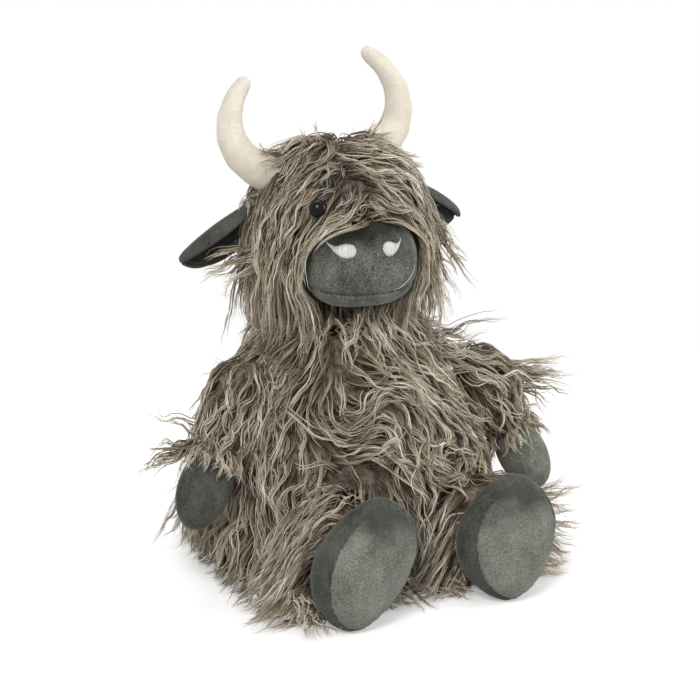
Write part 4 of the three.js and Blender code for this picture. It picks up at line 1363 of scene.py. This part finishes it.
makePile("head_pile_", headSkin, "head", headKeep, headFlow, headLook, 11, headSectors)
makePile("neck_pile", neckSkin, "neck", neckKeep, neckFlow, neckLook, 16)
makePile("torso_pile_", torsoSkin, "torso", torsoKeep, torsoFlow, torsoLook, 21, torsoSectors)
for word, side in sides:
    makePile("sleeve_pile_" + word, sleeveSkins[word], "arm_" + word, sleeveKeep(word),
             sleeveFlow(word, side), dict(sleeveLook, length=sleeveLength(word)), 31 + side * 4)
    makePile("hip_pile_" + word, hipSkins[word], "leg_" + word, hipKeep(word), hipFlow(word, side),
             hipLook, 51 + side * 4)

# Tufts that stand out of the pile. Body: root, spread of the roots, way, length, locks, droop
tufts = {
    "arm_left": [
        ((0.126, -0.036, 0.130), 0.006, (0.88, -0.30, 0.04), 0.058, 16, 0.1),
        ((0.128, -0.038, 0.120), 0.006, (0.86, -0.30, -0.22), 0.054, 14, 0.2),
    ],
    "arm_right": [((-0.122, -0.010, 0.101), 0.007, (-0.90, 0.32, -0.12), 0.052, 26, 0.1)],
    "head": [
        ((-0.064, 0.000, 0.222), 0.006, (-0.85, 0.38, -0.42), 0.046, 8, 0.2),
        ((0.056, -0.006, 0.226), 0.010, (0.42, -0.20, -0.88), 0.074, 14, 0.2),
        ((0.058, -0.004, 0.242), 0.008, (0.66, -0.30, -0.70), 0.056, 12, 0.4),
        ((0.036, -0.008, 0.284), 0.004, (0.94, -0.25, -0.15), 0.028, 4, 0.2),
        ((-0.003, -0.034, 0.186), 0.011, (0.0, -0.22, -1.0), 0.052, 18, 0.0),
        ((-0.016, -0.034, 0.288), 0.005, (-0.75, -0.1, -0.50), 0.022, 8, 0.6),
        ((-0.006, -0.038, 0.284), 0.005, (0.85, -0.1, -0.50), 0.036, 10, 0.6),
        ((-0.004, -0.048, 0.264), 0.004, (0.75, -0.1, -0.55), 0.018, 6, 0.0),
        ((-0.012, -0.047, 0.264), 0.004, (-0.75, -0.1, -0.55), 0.018, 6, 0.0),
        ((-0.014, 0.005, 0.292), 0.005, (-0.25, 0.0, 0.6), 0.020, 3, 0.0),
        ((0.022, 0.010, 0.291), 0.006, (0.45, 0.0, 0.8), 0.024, 4, 0.0),
    ],
    "leg_left": [((0.100, -0.046, 0.016), 0.006, (0.93, -0.32, 0.05), 0.086, 12, 0.1)],
    "leg_right": [
        ((-0.086, -0.088, 0.012), 0.010, (-0.35, -0.92, -0.1), 0.074, 13, 0.0),
        ((-0.036, -0.092, 0.014), 0.007, (0.50, -0.84, -0.1), 0.044, 8, 0.0),
    ],
    "torso": [
        ((0.050, -0.012, 0.166), 0.010, (0.86, -0.14, -0.40), 0.076, 16, 1.4),
        ((0.052, -0.014, 0.170), 0.006, (0.90, -0.12, -0.10), 0.036, 10, 0.2),
        ((0.064, -0.024, 0.150), 0.010, (0.90, -0.20, -0.20), 0.070, 22, 0.6),
        ((-0.046, -0.012, 0.168), 0.010, (-0.80, 0.02, -0.45), 0.074, 24, 1.8),
        ((-0.056, -0.026, 0.154), 0.010, (-0.72, -0.16, -0.50), 0.074, 24, 1.2),
        ((-0.066, -0.010, 0.150), 0.008, (-0.75, 0.00, -0.55), 0.062, 16, 1.0),
        ((0.096, -0.030, 0.036), 0.007, (0.93, -0.34, 0.05), 0.082, 12, 0.1),
    ],
}
tuftSkins = {"torso": torsoSkin, "head": headSkin}
for word, side in sides:
    tuftSkins["arm_" + word], tuftSkins["leg_" + word] = sleeveSkins[word], hipSkins[word]
tuftLook = dict(commonLook, hug=0.0, settle=0, lift=0.15, comb=0.45, unruly=same(1.7), loose=same(0.0),
                strayShare=0.2, depth=0.006)


def tuftFlow(root, way, length, droop):
    # the tuft's way, and more and more downwards away from its root
    ahead = unit(np.array(way))

    def flow(spots):
        far = np.linalg.norm(spots - np.array(root), axis=1, keepdims=True) / length
        return unit(ahead + down * droop * far)
    return flow


def makeTufts(body, seed):
    rng = np.random.default_rng(seed)
    skinTree = BVHTree.FromObject(tuftSkins[body], bpy.context.evaluated_depsgraph_get())
    tables = [], [], []
    for i, (root, spread, way, length, locks, droop) in enumerate(tufts[body]):
        around = np.array(root) + rng.normal(0, spread, (locks, 3))
        hits = [skinTree.find_nearest(Vector(spot)) for spot in around]
        spots, ways = (np.array([hit[k] for hit in hits]) for k in (0, 1))
        look = dict(tuftLook, length=same(length), face=body == "head")
        lines, lengths, grown = growLocks(spots, ways, tuftFlow(root, way, length, droop), look, seed + i)
        for table, part in zip(tables, fillLocks(lines, lengths, look, seed + 40 + i)):
            table.append(part)
    piece = makeStrands("tufts_" + body, *[np.concatenate(table) for table in tables])
    finished(piece, body, "long_pile", pileFinish)


for i, body in enumerate(tufts):
    makeTufts(body, 71 + i * 7)
print("pile grown")

finished(torsoSkin, "torso", "long_pile", backingFinish, "torso_cover", "torso_stuffing", "pellet_pouch")
finished(headSkin, "head", "long_pile", backingFinish, "head_cover", "head_stuffing")
finished(neckSkin, "neck", "long_pile", backingFinish, "neck_stuffing")
for word, side in sides:
    sleeve, hip = sleeveSkins[word], hipSkins[word]
    finished(sleeve, "arm_" + word, "long_pile", backingFinish, "arm_sleeve_" + word, "arm_stuffing_" + word)
    finished(hip, "leg_" + word, "long_pile", backingFinish, "leg_sleeve_" + word)


# Floor, light and camera
stageLook = {
    "aim": Vector((-0.0044, -0.0237, 0.1526)), "azimuth": -28.0, "elevation": 17.0, "distance": 1.6,
    "lens": 120.0, "floor": 6.0, "floorTone": 0.86, "floorGlow": 0.34, "plainFrom": (0.25, 0.6),
    "skyLight": 0.62, "lightAim": Vector((0, 0, 0.15)),
}
# place, size and power
lights = {
    "key_light": (Vector((-0.92, -1.0, 1.42)), 0.55, 16.4),
    "fill_light": (Vector((1.3, -0.9, 0.7)), 1.0, 12.0),
    "top_light": (Vector((0.1, 0.5, 1.7)), 1.0, 6.0),
}


def makeFloor():
    # matt where it lights the cow, brighter to the camera, and the backdrop's plain white away from the cow
    look = stageLook
    shape = bmesh.new()
    bmesh.ops.create_grid(shape, x_segments=1, y_segments=1, size=look["floor"])
    floor = newPiece("floor", shape)
    white = bpy.data.materials.new("white_floor")
    white.use_nodes = True
    tree = Nodes(white.node_tree)
    tree.tree.nodes.clear()
    toCamera = tree.add("ShaderNodeLightPath", output="Is Camera Ray")
    paint = tree.add("ShaderNodeBsdfDiffuse", None, {"Color": (look["floorTone"],) * 3 + (1,)})
    glow = tree.add("ShaderNodeEmission", None, {"Strength": look["floorGlow"]})
    lit = tree.add("ShaderNodeAddShader", None, {0: paint, 1: glow})
    near = tree.add("ShaderNodeMixShader", None, {0: toCamera, 1: paint, 2: lit})
    away = tree.add("ShaderNodeVectorMath", {"operation": "LENGTH"}, {0: tree.place()}, output="Value")
    share = tree.spread(away, *look["plainFrom"]) * toCamera
    far = tree.add("ShaderNodeEmission")
    shader = tree.add("ShaderNodeMixShader", None, {0: share, 1: near, 2: far})
    tree.add("ShaderNodeOutputMaterial", None, {0: shader})
    floor.data.materials.append(white)


def makeWorld():
    # soft light from all round, and plain white to the camera, in reflections and through what is clear
    world = bpy.data.worlds.new("studio")
    scene.world = world
    world.use_nodes = True
    tree = Nodes(world.node_tree)
    tree.tree.nodes.clear()
    sky = tree.add("ShaderNodeBackground", None, {"Strength": stageLook["skyLight"]})
    white = tree.add("ShaderNodeBackground", None, {"Color": (1, 1, 1, 1), "Strength": 1.0})
    rays = tree.add("ShaderNodeLightPath")
    seen = rays.other("Is Camera Ray")
    for ray in ("Is Glossy Ray", "Is Transmission Ray"):
        both = {0: seen, 1: rays.other(ray)}
        seen = tree.add("ShaderNodeMath", {"operation": "ADD", "use_clamp": True}, both)
    shader = tree.add("ShaderNodeMixShader", None, {0: seen, 1: sky, 2: white})
    tree.add("ShaderNodeOutputWorld", None, {0: shader})


def makeLights():
    for name, (place, size, power) in lights.items():
        lamp = bpy.data.lights.new(name, "AREA")
        lamp.size, lamp.energy = size, power
        light = placed(name, lamp)
        light.location = place
        light.rotation_euler = (stageLook["lightAim"] - place).to_track_quat("-Z", "Y").to_euler()


def makeCamera():
    look = stageLook
    turn, rise = math.radians(look["azimuth"]), math.radians(look["elevation"])
    back = Vector((math.sin(turn) * math.cos(rise), -math.cos(turn) * math.cos(rise), math.sin(rise)))
    lens = bpy.data.cameras.new("camera")
    lens.lens, lens.sensor_width = look["lens"], 36.0
    camera = placed("camera", lens)
    camera.location = look["aim"] + back * look["distance"]
    camera.rotation_euler = (-back).to_track_quat("-Z", "Y").to_euler()
    scene.camera = camera


makeFloor()
makeWorld()
makeLights()
makeCamera()
scene.view_settings.view_transform = "Standard"
print("stage made")
